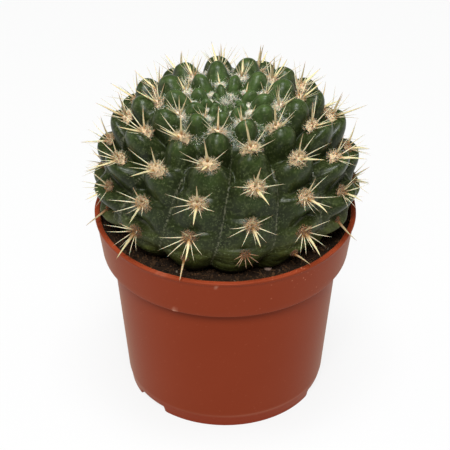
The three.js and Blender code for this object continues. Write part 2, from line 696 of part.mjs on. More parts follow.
// The soil: a turned plug that fills the pot, with a lumpy top and a round hollow for the plant's base.
function soil() {
  const stepZ = POT_HEIGHT - COLLAR_HEIGHT + WALL;
  const floorZ = FLOOR_LIFT + WALL + SEAT_GAP;
  const inner = (z) => bodyRadius(z) - WALL - SEAT_GAP;
  const wallTop = collarRadius(SOIL_LEVEL) - WALL - SEAT_GAP;
  const profile = [
    [0, floorZ],
    [inner(floorZ), floorZ],
    [inner(stepZ), stepZ + SEAT_GAP],
    [collarRadius(stepZ) - WALL - SEAT_GAP, stepZ + SEAT_GAP],
    [wallTop, SOIL_LEVEL],
  ];
  for (let ring = 1; ring <= SOIL_RINGS; ring++) {
    profile.push([wallTop + (SOIL_INNER_RING - wallTop) * ring / SOIL_RINGS, SOIL_LEVEL]);
  }
  profile.push([0, SOIL_LEVEL]);
  const geometry = turned(profile, SOIL_SIDES);
  geometry.deleteAttribute('normal');
  geometry.deleteAttribute('uv');
  const position = geometry.attributes.position;
  const perSide = profile.length;
  for (let i = 0; i < position.count; i++) {
    const ring = i % perSide;
    const side = Math.floor(i / perSide);
    const onTop = ring >= perSide - SOIL_RINGS - 1 && ring < perSide - 1;
    if (onTop) position.setZ(i, soilHeight(ring, side));
  }
  const plug = solidOf(geometry);
  return namedMesh('soil', geometryOf(plug.subtract(seat())), SOIL_COLOR, SOIL_ROUGHNESS);
}

// The hollow for the plant's base: the buried part of the globe, one gap larger.
function seat() {
  const [radius, height] = [GLOBE_RADIUS + SEAT_GAP, GLOBE_DROP + SEAT_GAP];
  const profile = [[0, -height]];
  for (let angle = 180 - SEAT_ROW_ANGLE; angle >= 90; angle -= SEAT_ROW_ANGLE) {
    profile.push([radius * Math.sin(angle * DEG), height * Math.cos(angle * DEG)]);
  }
  profile.push([0, 0]);
  const geometry = turned(profile, SEAT_SIDES).scale(1 + GLOBE_OVAL, 1 - GLOBE_OVAL, 1);
  geometry.applyQuaternion(leanTurn).translate(GLOBE_CENTRE.x, GLOBE_CENTRE.y, GLOBE_CENTRE.z);
  return solidOf(geometry);
}

const model = new THREE.Group();
model.add(pot(), soil(), cactus());
export default model;
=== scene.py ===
import math

import bmesh
import bpy
import numpy as np
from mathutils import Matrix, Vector, noise


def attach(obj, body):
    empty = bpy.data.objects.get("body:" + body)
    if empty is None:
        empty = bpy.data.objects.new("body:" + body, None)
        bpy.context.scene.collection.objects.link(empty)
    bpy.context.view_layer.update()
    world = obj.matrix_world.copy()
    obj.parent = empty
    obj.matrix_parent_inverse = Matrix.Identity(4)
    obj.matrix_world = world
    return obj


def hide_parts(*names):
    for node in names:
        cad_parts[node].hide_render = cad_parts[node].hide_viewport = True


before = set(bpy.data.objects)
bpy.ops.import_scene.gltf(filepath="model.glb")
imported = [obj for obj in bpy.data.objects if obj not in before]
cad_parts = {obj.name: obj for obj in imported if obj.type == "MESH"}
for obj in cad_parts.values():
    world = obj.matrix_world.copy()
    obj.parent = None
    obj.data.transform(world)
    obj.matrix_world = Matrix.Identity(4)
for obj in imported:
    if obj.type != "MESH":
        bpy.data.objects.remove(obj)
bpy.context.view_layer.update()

# A potted globular cactus in a terracotta-coloured plastic pot. Lengths are millimetres until a mesh is
# made, Z is up, and azimuths are degrees from the side that faces the viewer (-Y) towards +X.
MM = 0.001
DEG = math.pi / 180

# Pot: the same driving dimensions as the solid.
POT_HEIGHT = 65.6
RIM_RADIUS = 42.5
COLLAR_HEIGHT = 14.5
COLLAR_FOOT_RADIUS = 40.2
BODY_TOP_RADIUS = 37.1
BODY_FOOT_RADIUS = 33.0
FOOT_STRIP_HEIGHT = 4.8
FOOT_RADIUS = 32.1
WALL = 1.3
LIP_WALL = 1.7
LIP_HEIGHT = 2.0
FLOOR_LIFT = 2.2
FOOT_RING_WIDTH = 2.4
NOTCH_WIDTH = 12.0
NOTCH_HEIGHT = 2.0
NOTCH_AZIMUTHS = (70, 190, 310)
DRAIN_RADIUS = 3.5
DRAIN_CIRCLE_RADIUS = 18.0
DRAIN_COUNT = 6
STEP_HEIGHT = POT_HEIGHT - COLLAR_HEIGHT

# Pot: details of the visual model only.
POT_COLUMNS = 288
EDGE_ROUND = 0.35
FOOT_ROUND = 0.15
LIP_ROUND = 0.25
LIP_EDGE = 0.9
LIP_OVERHANG = 0.35
STEP_FILLET = 0.9
BURR_AZIMUTH = -28.5
BURR_HEIGHT = 0.35
COLLAR_NIB_AZIMUTH = -23.3
LIP_NIB_AZIMUTH = -3.75
NIB_HEIGHT = 0.35

# Soil.
SOIL_LEVEL = 60.0
SEAT_GAP = 0.3
SOIL_INNER_RADIUS = 20.0
SOIL_COLUMNS = 160
SOIL_TOP_ROWS = 46
PEBBLE_PLACE = (13.4, -26.4)
PEBBLE_SIZE = (1.25, 0.95, 0.7)
PEBBLE_RISE = 0.65
FIBRE_COUNT = 170
FIBRE_LENGTH = (1.5, 5.0)
FIBRE_WIDTH = 0.22

# Plant: growth rule of the solid.
GLOBE_RADIUS = 39.0
GLOBE_OVAL = 0.023
GLOBE_RISE = 32.1
GLOBE_DROP = 24.0
GLOBE_CENTRE = np.array([0.55, -0.13, 76.3])
GLOBE_LEAN = Vector((-0.019, -0.009, 1.0))
LEAN = np.array(Vector((0, 0, 1)).rotation_difference(GLOBE_LEAN.normalized()).to_matrix())
RIBS = 13
RIB_STRIDE = 5
DIVERGENCE = 138.205
FIRST_AZIMUTH = 11.6
AREOLE_STEP = 19.13
CROWN_ONSET = 4.0
CROWN_SOFTNESS = 0.685
YOUNGEST_AREOLE = -55
YOUNG_CROWN = -42
BARE_CROWN = -46
OLDEST_AREOLE = 21
BROKEN_CENTRAL = 13
PLANT_NOTCH_DEPTH = 7.4
PLANT_NOTCH_FADE = (88, 126)
NOTCH_NARROWING = (50, 85)
GROOVE_DEPTH = 5.9
GROOVE_FADE = (55, 126)
GROOVE_POWER = 2.4
FULL_SIZE = 9.0
SHOULDER_LIFT = 2.6
SHOULDER_RISE = (8, 34)
SHOULDER_FALL = (44, 80)
APEX_DIMPLE = 3.6
APEX_DIMPLE_REACH = 27
CREASE_ABOVE_AREOLE = 0.17
CHIN_BELOW_CREASE = 0.35
CREASE_ROUNDING = 0.08
DOME_DEPTH = 9.0
DOME_FULL_SIZE = 6.5
DOME_POWER = 2.7
DOME_FADE = (30, 52)
BACK_DOME_FADE = (34, 60)
DOME_VALLEY = 0.56
YOUNG_PLACE_FADE = (16, 34)
BACK_YOUNG_PLACE_FADE = (27, 60)
DOME_CREASE_ABOVE_AREOLE = 0.04
DOME_BELOW_CREASE = 0.5
VALLEY_FADE = (34, 56)
VALLEY_DROP = 20.0
NEIGHBOUR_REACH = 21
SWOLLEN_AZIMUTH = -3
SWOLLEN_SPREAD = (28, 55)
SWOLLEN_ROWS = (36, 62)
SWOLLEN_SHARE = 0.8
SWOLLEN_GROOVE_SHARE = 0.45
SWOLLEN_LIFT = 1.0
FLAT_SPREAD = (40, 75)
FLAT_ROWS = (18, 34)
FLAT_POWER = 5
YOUNG_SIZE = 5.0
GROWN_SIZE = 12.0
AGED_AREOLE = 13
SPENT_AREOLE = 15
AGED_RADIAL_SHARE = 0.45
AGED_PAD_SHARE = 0.6
SPENT_PAD_SHARE = 0.35
AREOLE_TILT = 10.0
REACH_RADIUS = 46.6
SPINE_SOIL_CLEARANCE = 1.6
SPINE_RIM_CLEARANCE = 1.3
RIM_ZONE = (34.5, 37.5)

# Mesh of the plant body.
BODY_ROWS = 232
BODY_COLUMNS = RIBS * 32
BODY_FIRST_ANGLE = 1.0
BODY_LAST_ANGLE = 150.0
LOW_GROOVE_DEPTH = 2.0
LOW_GROOVE_ROWS = (96, 112)
SWELL_SCALE = 9.0
SWELL_DEPTHS = (0.35, 1.1)
SWELL_ROWS = (92, 118)
GRAIN_SCALE = 1.6
GRAIN_DEPTH = 0.05
FOLD_DEPTH = 0.7
FOLD_ROWS = (88, 108)
CROWN_COLOR_ROWS = (10, 44)
LOW_COLOR_ROWS = (78, 112)

# Kinds of spine: turns round the areole (0 is down) and the draw of each, rise over its plane and extra
# rise of young ones, length, width, flatness, distance of the root from the middle, how far each may
# vary, and the share of the length over a range of rows down the plant.
RADIAL = {
    "turns": (-118, -70, -30, 44, 98, 8, 72), "draws": (0, 1, 2, 3, 4, 70, 71), "rise": 28,
    "young_rise": 25, "down_rise": 18, "up_rise": 20, "length": 8.8, "width": 0.46, "flat": 0.8,
    "outset": 0.9, "turn_spread": 8, "rise_spread": 8, "length_spread": 0.14,
    "rows": (0, 90), "row_lengths": (1.0, 1.0),
}
CENTRAL = {"down_rise": 0, "up_rise": 0, "flat": 0.6, "outset": 0.3, "rise_spread": 10}
LOWER_CENTRAL = CENTRAL | {
    "turns": (0,), "draws": (5,), "rise": 40, "young_rise": 20, "length": 13.0, "width": 1.3,
    "turn_spread": 24, "length_spread": 0.12, "rows": (44, 72), "row_lengths": (0.7, 1.0),
}
UPPER_CENTRAL = CENTRAL | {
    "turns": (180, 160), "draws": (6, 76), "rise": 52, "young_rise": 0, "length": 8.8, "width": 1.05,
    "turn_spread": 20, "length_spread": 0.15, "rows": (62, 92), "row_lengths": (1.0, 0.72),
}
RISE_DRAW = 10
TURN_DRAW = 20
BEND_DRAW = 40
SIDE_BEND_DRAW = 55
SPINE_BEND = 0.045
SPINE_SIDE_BEND = 0.04
SPINE_SIDES = 6
SPINE_RINGS = 7
SPINE_TAPER = 0.8
YOUNG_SPINE_SCALE = 0.3
YOUNG_SPINE_WIDTH = 0.5
ROOT_LIFT = 1.4
ROOT_SINK = 0.9
CROWN_SPINE_RISE = 12.0
CROWN_SPINE_FADE = (50, 80)
SECOND_UPPER_ROWS = 60
SECOND_UPPER_SHARE = 0.55
CLEAR_SAMPLES = (0.2, 0.35, 0.5, 0.7, 0.9)
CLEAR_HEIGHT = 0.35
CLEAR_ANGLE = 5.0
CLEAR_STEPS = 10
STEEPEST_RISE = 80.0

# Wool.
PAD_WIDTH = 5.6
PAD_LENGTH = 4.0
PAD_HEIGHT = 1.3
PAD_BASE = 0.3
PAD_LUMPS = 0.08
OLD_PAD_SHARE = 0.62
OLD_PAD_ROWS = (55, 95)
YOUNG_PAD_SCALE = 0.34
PAD_RINGS = 6
PAD_SECTORS = 18
HAIRS_PER_PAD = 190
HAIR_WIDTH = 0.13
APEX_HAIRS = 150
APEX_HAIR_LENGTH = (1.6, 4.0)
APEX_WOOL_RADIUS = 3.2
APEX_WOOL_OFFSET = 1.2
GAP_HAIRS = 5200
GAP_HAIR_LENGTH = (0.8, 1.8)
GAP_ROWS = (6, 33)
GAP_DEPTH = 0.72

# Camera of the photograph.
CAMERA_TARGET = Vector((-0.13, 0.0, 58.51))
CAMERA_DISTANCE = 600.0
CAMERA_ELEVATION = 34.5
CAMERA_FOCAL_PIXELS = 1831.17
PHOTO_WIDTH = 450
SENSOR_WIDTH = 36.0

# Floor and lights, in metres.
FLOOR_HALF_WIDTH = 2.5
LIGHT_TARGET = Vector((0.0, 0.0, 0.06))


# Numbers and vectors.
def draw(n, k):
    """A repeatable draw from 0 to 1 for key n; k tells the draws of a key apart."""
    wave = np.sin(n * 12.9898 + k * 78.233) * 43758.5453
    return wave - np.floor(wave)


def spread(n, k, amount):
    return (2 * draw(n, k) - 1) * amount


def smooth_step(start, end, value):
    t = np.clip((value - start) / (end - start), 0, 1)
    return t * t * (3 - 2 * t)


def lerp(a, b, t):
    return a + (b - a) * t


def bell(x, width):
    return np.exp(-(x / width) ** 2)


def wrap_degrees(angle):
    return angle - 360 * np.round(angle / 360)


def unit(vectors):
    return vectors / np.linalg.norm(vectors, axis=-1, keepdims=True)


def column(values):
    return np.asarray(values, float)[..., None]


def xyz(x, y, z):
    return np.stack(np.broadcast_arrays(x, y, z), -1)


def polar(radius, turn):
    return radius * np.cos(turn), radius * np.sin(turn)


def full_turn(count):
    return np.arange(count) * math.tau / count


def flat_radius(points):
    return np.hypot(points[..., 0], points[..., 1])


def square_to(axis, vectors):
    """Unit vectors along the part of vectors that stands square to an axis."""
    return unit(vectors - (vectors * axis).sum(-1, keepdims=True) * axis)


def swing(first, second, turn):
    """Vectors turned by degrees from the first towards the second."""
    return first * column(np.cos(turn * DEG)) + second * column(np.sin(turn * DEG))


# Finishes.
def linear(value):
    value /= 255
    return value / 12.92 if value <= 0.04045 else ((value + 0.055) / 1.055) ** 2.4


class Finish:
    """A material in the making: its nodes, and the base colour as painted so far.

    Where a node takes a value, a text stands for the mesh attribute of that name, and three numbers
    stand for a colour, each from 0 to 255.
    """

    def __init__(self, name):
        self.material = bpy.data.materials.new(name)
        self.material.use_nodes = True
        self.tree = self.material.node_tree
        self.shader = self.tree.nodes["Principled BSDF"]
        self.place = self.node("TexCoord", {}, "Object")

    def fill(self, node, inputs):
        for key, value in inputs.items():
            if isinstance(value, str):
                value = self.node("Attribute", {}, "Fac", attribute_name=value)
            if isinstance(value, bpy.types.NodeSocket):
                self.tree.links.new(value, node.inputs[key])
                continue
            if isinstance(value, tuple) and len(value) == 3:
                value = (*map(linear, value), 1.0)
            node.inputs[key].default_value = value

    def node(self, kind, inputs, output, **settings):
        node = self.tree.nodes.new("ShaderNode" + kind)
        for key, value in settings.items():
            setattr(node, key, value)
        self.fill(node, inputs)
        return node.outputs[output]

    def noise(self, scale, detail=3.0, roughness=0.5):
        inputs = {"Vector": self.place, "Scale": scale, "Detail": detail, "Roughness": roughness}
        return self.node("TexNoise", inputs, "Fac")

    def cells(self, scale):
        return self.node("TexVoronoi", {"Vector": self.place, "Scale": scale, "Randomness": 1.0}, "Distance")

    def step(self, value, start, end, first=0.0, last=1.0):
        """A smooth step from first to last while the value goes from start to end."""
        inputs = {"Value": value, "From Min": start, "From Max": end, "To Min": first, "To Max": last}
        return self.node("MapRange", inputs, "Result", interpolation_type="SMOOTHSTEP")

    def lerp(self, share, first, last):
        return self.node("MapRange", {"Value": share, "To Min": first, "To Max": last}, "Result")

    def times(self, first, *others):
        for other in others:
            first = self.node("Math", {0: first, 1: other}, 0, operation="MULTIPLY")
        return first

    def mix(self, share, first, second, blend="MIX"):
        inputs = {0: share, 6: first, 7: second}
        return self.node("Mix", inputs, 2, data_type="RGBA", blend_type=blend)

    def paint(self, color, *shares):
        self.base = self.mix(self.times(*shares), self.base, color)

    def shade(self, value):
        """Multiplies the base colour by a value."""
        grey = self.node("CombineColor", {"Red": value, "Green": value, "Blue": value}, "Color")
        self.base = self.mix(1.0, self.base, grey, "MULTIPLY")

    def bump(self, height, strength, distance):
        inputs = {"Height": height, "Strength": strength, "Distance": distance * MM}
        self.fill(self.shader, {"Normal": self.node("Bump", inputs, "Normal")})

    def made(self, roughness, specular, **more):
        """Sets the shader's sockets; further names are written with low lines for blanks."""
        inputs = {"Base Color": self.base, "Roughness": roughness, "Specular IOR Level": specular}
        inputs.update({key.replace("_", " "): value for key, value in more.items()})
        self.fill(self.shader, inputs)
        return self.material


def skin_material():
    skin = Finish("cactus_skin")
    patch = skin.noise(90, 4)
    fine = skin.noise(900)
    # Dark green used for random mottling and also as painted shade in the grooves.
    dark_mottle_and_groove_shade = (16, 20, 9)
    skin.base = skin.mix(patch, (22, 30, 12), (46, 54, 22))
    skin.paint((64, 84, 43), "crown")
    # Painted light: the chin faces under the areoles are painted lighter where they catch the light.
    skin.paint((58, 76, 36), "chin", 0.5)
    skin.paint(skin.mix(patch, (44, 54, 20), (98, 102, 40)), "low", 0.75)
    # Painted shade: the skin darkens towards the grooves between the ribs.
    skin.paint(dark_mottle_and_groove_shade, skin.step("rib_edge", 0.45, 1.0), 0.35)
    skin.paint(dark_mottle_and_groove_shade, skin.step(skin.noise(330, 4, 0.6), 0.35, 0.68), 0.5)
    fleck = skin.step(skin.noise(1150, 2), 0.50, 0.70)
    skin.paint((90, 98, 62), fleck, skin.lerp("low", 0.3, 0.5))
    speck = skin.step(skin.cells(1300), 0.16, 0.30, 1.0, 0.0)
    speck_field = skin.step(skin.noise(260, 2), 0.42, 0.62)
    skin.paint((130, 142, 100), speck, speck_field, skin.lerp("low", 0.22, 0.6))
    line = skin.times(skin.step("rib_edge", 0.945, 0.99), skin.step("crown", 0.0, 0.4, 1.0, 0.0))
    dotted = skin.step(skin.noise(1700, 1), 0.42, 0.60)
    skin.paint((162, 160, 134), line, dotted, skin.lerp("low", 0.24, 0.34))
    skin.bump(fine, 0.5, 0.17)
    dull = {0: skin.lerp(fine, 0.23, 0.41), 1: skin.lerp("low", 0.0, 0.28)}
    return skin.made(skin.node("Math", dull, 0, operation="ADD"), 0.17)


def spine_material(name, root_color, middle_color, tip_color, tip_start, aged_share):
    spine = Finish(name)
    spine.base = spine.mix(spine.step("along", 0.10, 0.32), root_color, middle_color)
    spine.paint(tip_color, spine.step("along", tip_start, 1.0))
    spine.paint(root_color, spine.noise(1400, 2), 0.2)
    spine.paint((138, 88, 56), "aged", aged_share)
    spine.shade(spine.lerp("tone", 0.78, 1.08))
    return spine.made(0.45, 0.4, Subsurface_Weight=0.15, Subsurface_Scale=0.5 * MM)


def wool_material(name, young_color, grown_color, old_color):
    wool = Finish(name)
    wool.base = wool.mix(wool.step("age", 0.0, 0.5), young_color, grown_color)
    wool.paint(old_color, wool.step("age", 0.5, 1.0))
    wool.paint((118, 80, 46), wool.step("tone", 0.06, 0.16, 1.0, 0.0), 0.6)
    wool.shade(wool.lerp("tone", 0.72, 1.12))
    return wool.made(0.85, 0.2, Sheen_Weight=0.15, Subsurface_Weight=0.2, Subsurface_Scale=0.6 * MM)


def pot_material():
    wall = Finish("pot_plastic")
    wall.base = wall.mix(wall.noise(60), (129, 50, 24), (133, 53, 27))
    # Painted shade: the lip's top face is painted duller and darker to tone down the light it catches.
    wall.paint((120, 52, 30), "lip", 0.5)
    wall.paint((134, 46, 22), "strip", 0.6)
    dust = wall.step(wall.cells(620), 0.10, 0.22, 1.0, 0.0)
    dust_field = wall.step(wall.noise(400, 1), 0.5, 0.6)
    wall.paint((190, 120, 92), dust, dust_field, "dusty", 0.7)
    # Pale wear on the nibs and the burr, and a painted highlight along the top edge of the foot strip.
    wall.paint((215, 165, 140), "wear")
    # Painted shade: a darker band in the corner just under the collar.
    wall.paint((84, 28, 13), "corner", 0.7)
    fine = wall.noise(2200, 2)
    wall.bump(fine, 0.15, 0.05)
    return wall.made(wall.lerp(fine, 0.36, 0.5), 0.06, Sheen_Weight=0.1, Sheen_Roughness=0.35,
                     Sheen_Tint=(1.0, 0.85, 0.4, 1.0))


def soil_material(name, dark, light):
    peat = Finish(name)
    grain = peat.noise(700, 4)
    peat.base = peat.mix(peat.times("tone", grain), dark, light)
    peat.bump(grain, 0.6, 0.3)
    return peat.made(0.92, 0.25)


def floor_material():
    floor = Finish("floor")
    floor.base = (0.08, 0.08, 0.08, 1.0)
    return floor.made(0.9, 0.1, Emission_Color=(1.0, 1.0, 1.0, 1.0), Emission_Strength=0.86)


# Mesh helpers.
def add_object(name, data):
    made = bpy.data.objects.new(name, data)
    bpy.context.scene.collection.objects.link(made)
    return made


def make_piece(name, points, faces, material, attributes, replaced=None):
    mesh = bpy.data.meshes.new(name)
    mesh.from_pydata((np.asarray(points, float) * MM).tolist(), [], faces)
    mesh.materials.append(material)
    mesh.polygons.foreach_set("use_smooth", [True] * len(mesh.polygons))
    for key, values in attributes.items():
        layer = mesh.attributes.new(key, "FLOAT", "POINT")
        layer.data.foreach_set("value", np.asarray(values, np.float32).ravel())
    mesh.update()
    piece = add_object(name, mesh)
    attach(piece, "root")
    if replaced:
        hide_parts(replaced)
    return piece


def plant_piece(name, points, faces, material, attributes):
    make_piece(name, points, faces, material, attributes, "cactus")


def soil_piece(name, points, faces, material, tone, replaced=None):
    make_piece(name, points, faces, material, {"tone": tone}, replaced)


def grid_faces(rows, columns):
    """Quads of a grid of rows by columns that closes round its columns."""
    faces = []
    for low in range(0, (rows - 1) * columns, columns):
        high = low + columns
        for j in range(columns):
            k = (j + 1) % columns
            faces.append((low + j, low + k, high + k, high + j))
    return faces


def closed_faces(rows, columns):
    """Such a grid with fans from its first and last row to two points that follow the grid's."""
    faces = grid_faces(rows, columns)
    first, last = rows * columns, (rows - 1) * columns
    for j in range(columns):
        k = (j + 1) % columns
        faces.append((first, k, j))
        faces.append((first + 1, last + j, last + k))
    return faces


def repeated_faces(pattern, count, step):
    """The faces of a pattern for each of its copies, whose points follow each other."""
    return [tuple(i * step + v for v in face) for i in range(count) for face in pattern]


def with_ends(values, first=0.0, last=0.0):
    """Values of a grid's points and of its two end points."""
    return np.append(values, [first, last])


def rods(roots, tips, bends, flat_axes, widths, flatness, sides, rings, power):
    """Tapering curved rods, one for each row: points, faces, share along the rod and index of the rod."""
    count = len(roots)
    t = np.linspace(0, 1, rings + 1)
    axis = unit(tips - roots)
    wide = square_to(axis, flat_axes)
    thin = np.cross(axis, wide)
    centre = roots[:, None] + (tips - roots)[:, None] * column(t) + bends[:, None] * column(4 * t * (1 - t))
    radius = np.broadcast_to(column(widths), (count, 1)) / 2 * np.power(1 - t[:-1], power)
    turn = full_turn(sides)
    ring = wide[:, None, None] * column(np.cos(turn)) + thin[:, None, None] * column(np.sin(turn)) * flatness
    ring_points = (centre[:, :-1, None] + ring * radius[:, :, None, None]).reshape(count, -1, 3)
    points = np.concatenate([ring_points, centre[:, -1:]], axis=1)
    along = np.append(np.repeat(t[:-1], sides), 1.0)
    step, last = rings * sides + 1, (rings - 1) * sides
    pattern = [tuple(range(sides))[::-1]] + grid_faces(rings, sides)
    pattern += [(last + j, last + (j + 1) % sides, step - 1) for j in range(sides)]
    rod = np.repeat(np.arange(count), step)
    return points.reshape(-1, 3), repeated_faces(pattern, count, step), np.tile(along, count), rod


# Growth rule.
def apex_angle(m):
    return AREOLE_STEP * CROWN_SOFTNESS * np.log1p(np.exp((m + CROWN_ONSET) / CROWN_SOFTNESS))


def growth_position(angle):
    return CROWN_SOFTNESS * np.log(np.expm1(angle / (AREOLE_STEP * CROWN_SOFTNESS))) - CROWN_ONSET


def areole_azimuth(n):
    return FIRST_AZIMUTH + n * DIVERGENCE


def globe_radius(azimuth):
    return GLOBE_RADIUS * (1 - GLOBE_OVAL * np.cos(2 * azimuth * DEG))


def globe_height(below):
    return np.where(below, GLOBE_DROP, GLOBE_RISE)


def globe_point(angle, azimuth, lift=0.0):
    """Points and normals of the leaning globe, lifted along the normals."""
    angle, azimuth, lift = np.broadcast_arrays(angle, azimuth, lift)
    sin_a, cos_a = np.sin(angle * DEG), np.cos(angle * DEG)
    sin_z, cos_z = np.sin(azimuth * DEG), np.cos(azimuth * DEG)
    radius, height = globe_radius(azimuth), globe_height(angle > 90)
    normal = unit(xyz(sin_a * sin_z / radius, -sin_a * cos_z / radius, cos_a / height))
    point = xyz(radius * sin_a * sin_z, -radius * sin_a * cos_z, height * cos_a) + normal * lift[..., None]
    return point @ LEAN.T + GLOBE_CENTRE, normal @ LEAN.T


def meridian_scale(angle):
    """Millimetres for each degree of apex angle."""
    return DEG * np.hypot(GLOBE_RADIUS * np.cos(angle * DEG), globe_height(angle > 90) * np.sin(angle * DEG))


def around_scale(angle):
    """Millimetres for each degree of azimuth."""
    return GLOBE_RADIUS * np.sin(angle * DEG) * DEG


def tubercle_size(m):
    """Apex angle, mean size, half width and length of a tubercle at growth position m."""
    angle = apex_angle(m)
    width = 360 / RIBS * around_scale(angle)
    step = (apex_angle(m + 0.5) - apex_angle(m - 0.5)) * meridian_scale(angle)
    size = np.sqrt(np.maximum(width * step, 1e-9))
    stretch = np.sqrt(np.maximum(1, width / step))
    return angle, size, size * stretch / 2, size / stretch


def crease_depth(full, fade, angle, size):
    return full * soft_cap(size / FULL_SIZE) * (1 - smooth_step(*fade, angle))


def soft_cap(share):
    """Follows a share up to about 1 and eases off there."""
    return share / (1 + share ** 4) ** 0.25


def crown_form(angle):
    """The plant stands fuller than an ellipsoid at its shoulder and is sunken at the growing point."""
    shoulder = smooth_step(*SHOULDER_RISE, angle) * (1 - smooth_step(*SHOULDER_FALL, angle))
    return SHOULDER_LIFT * shoulder - APEX_DIMPLE * (1 - smooth_step(0, APEX_DIMPLE_REACH, angle))


def facing_share(azimuth, fade):
    """1 on the side that faces the viewer, falling to 0 behind over a range of degrees."""
    return 1 - smooth_step(*fade, np.abs(wrap_degrees(azimuth - SWOLLEN_AZIMUTH)))


def youth(angle, front, front_rows, back_rows):
    """1 on young rows, falling to 0 over rows that lie further down behind than in front."""
    start, end = (lerp(back, row, front) for back, row in zip(back_rows, front_rows))
    return 1 - smooth_step(start, end, angle)


def fall_share(x, flat):
    """Fall from the chin (0) up to the crease above it (-1), and down to the next crease (1)."""
    reach = np.abs(x)
    bend = 1 - np.cos(math.pi * np.minimum(1, reach))
    steep = lerp(0.5 * bend, np.minimum(1, reach) ** FLAT_POWER, flat) + np.maximum(0, reach - 1)
    return np.where(x < 0, steep, 0.5 * x * x + 0.25 * bend)


def near_tubercles(m, angle, azimuth, half_width, length):
    """Half widths across and lengths below the areole of each tubercle near a point."""
    middle, around, along = np.round(RIBS * m), around_scale(angle), meridian_scale(angle)
    for k in range(-NEIGHBOUR_REACH, NEIGHBOUR_REACH + 1):
        n = middle + k
        across = wrap_degrees(azimuth - areole_azimuth(n)) * around / half_width
        yield across, (angle - apex_angle(n / RIBS)) * along / length


def relief(m, azimuth):
    """Height of the skin over the areole level: rounded chins parted by notches and grooves."""
    fall, top, _ = relief_parts(m, azimuth)
    return fall + top


def relief_parts(m, azimuth):
    """Fall from the tops of the chins, height of their tops, and depth of the valleys of the crown."""
    angle, size, half_width, length = tubercle_size(m)
    # The flank that faces the viewer is swollen low down, and its relief is nearly smooth there.
    swollen = facing_share(azimuth, SWOLLEN_SPREAD) * smooth_step(*SWOLLEN_ROWS, angle)
    front = facing_share(azimuth, FLAT_SPREAD)
    flat = front * smooth_step(*FLAT_ROWS, angle)
    notch = crease_depth(PLANT_NOTCH_DEPTH, PLANT_NOTCH_FADE, angle, size) * (1 - SWOLLEN_SHARE * swollen)
    groove = crease_depth(GROOVE_DEPTH, GROOVE_FADE, angle, size) * (1 - SWOLLEN_GROOVE_SHARE * swollen)
    groove = np.maximum(groove, 1e-4)
    dome = youth(angle, front, DOME_FADE, BACK_DOME_FADE) * (1 - swollen)
    dome_depth = DOME_DEPTH * soft_cap(size / DOME_FULL_SIZE)
    young = youth(angle, front, YOUNG_PLACE_FADE, BACK_YOUNG_PLACE_FADE)
    crease_above = lerp(CREASE_ABOVE_AREOLE, DOME_CREASE_ABOVE_AREOLE, young)
    chin_below = lerp(CHIN_BELOW_CREASE, DOME_BELOW_CREASE, young)
    rounding = CREASE_ROUNDING * np.maximum(lerp(groove, dome_depth, dome), 1e-3)
    narrowing = smooth_step(*NOTCH_NARROWING, angle)
    heights = []
    for across, down in near_tubercles(m, angle, azimuth, half_width, length):
        below = down + crease_above
        side = np.where(below < chin_below, chin_below, 1 - chin_below)
        lengthwise = (below - chin_below) / side
        crest = lerp(1, np.maximum(0, 1 - across * across), narrowing)
        ribbed = -groove * np.abs(across) ** GROOVE_POWER - notch * crest * fall_share(lengthwise, flat)
        domed = -dome_depth * np.hypot(across, lengthwise) ** DOME_POWER
        heights.append(lerp(ribbed, domed, dome))
    valley = DOME_VALLEY * dome_depth + VALLEY_DROP * smooth_step(*VALLEY_FADE, angle)
    heights.append(np.broadcast_to(-valley, heights[0].shape))
    heights = np.stack(heights)
    highest = heights.max(axis=0)
    total = np.exp((heights - highest) / rounding).sum(axis=0)
    areole_place = (CREASE_ABOVE_AREOLE - CHIN_BELOW_CREASE) / CHIN_BELOW_CREASE
    chin_rise = notch * fall_share(areole_place, flat) + SWOLLEN_LIFT * swollen * (groove / GROOVE_DEPTH)
    return highest + np.log(total) * rounding, chin_rise + crown_form(angle), valley


def rib_edge(angle, azimuth):
    """0 on the crest of a rib, 1 in the groove beside it."""
    twist = RIBS * DIVERGENCE - RIB_STRIDE * 360
    turn = (azimuth - FIRST_AZIMUTH - twist * growth_position(angle)) * RIBS / 360
    return 2 * np.abs(turn - np.round(turn))


def chin_share(angle, azimuth):
    """1 on the face of a chin under its areole, 0 in the creases round it."""
    m = growth_position(angle)
    _, _, half_width, length = tubercle_size(m)
    share = 0.0
    for across, below in near_tubercles(m, angle, azimuth, half_width, length):
        share = np.maximum(share, bell(across, 0.5) * bell(below - 0.3, 0.28))
    return share


# Plant body.
def wobble(points, scale, seed):
    """Smooth noise at points, from about -1 to 1."""
    offset = Vector((seed * 17.3, seed * 5.1, seed * 29.7))
    values = [noise.noise(Vector(point) / scale + offset) for point in points.reshape(-1, 3)]
    return np.array(values).reshape(points.shape[:-1])


def wrinkles(points, angle):
    """Shallow folds that run across the oldest part of the ribs."""
    bend = wobble(points * [1.0, 1.0, 0.35], 11.0, 3)
    crest = 1 - np.abs(np.sin(angle * 0.55 + bend * 4.5))
    patch = smooth_step(0.0, 0.5, wobble(points, 14.0, 4) + 0.15)
    return -FOLD_DEPTH * crest ** 6 * patch * smooth_step(*FOLD_ROWS, angle)


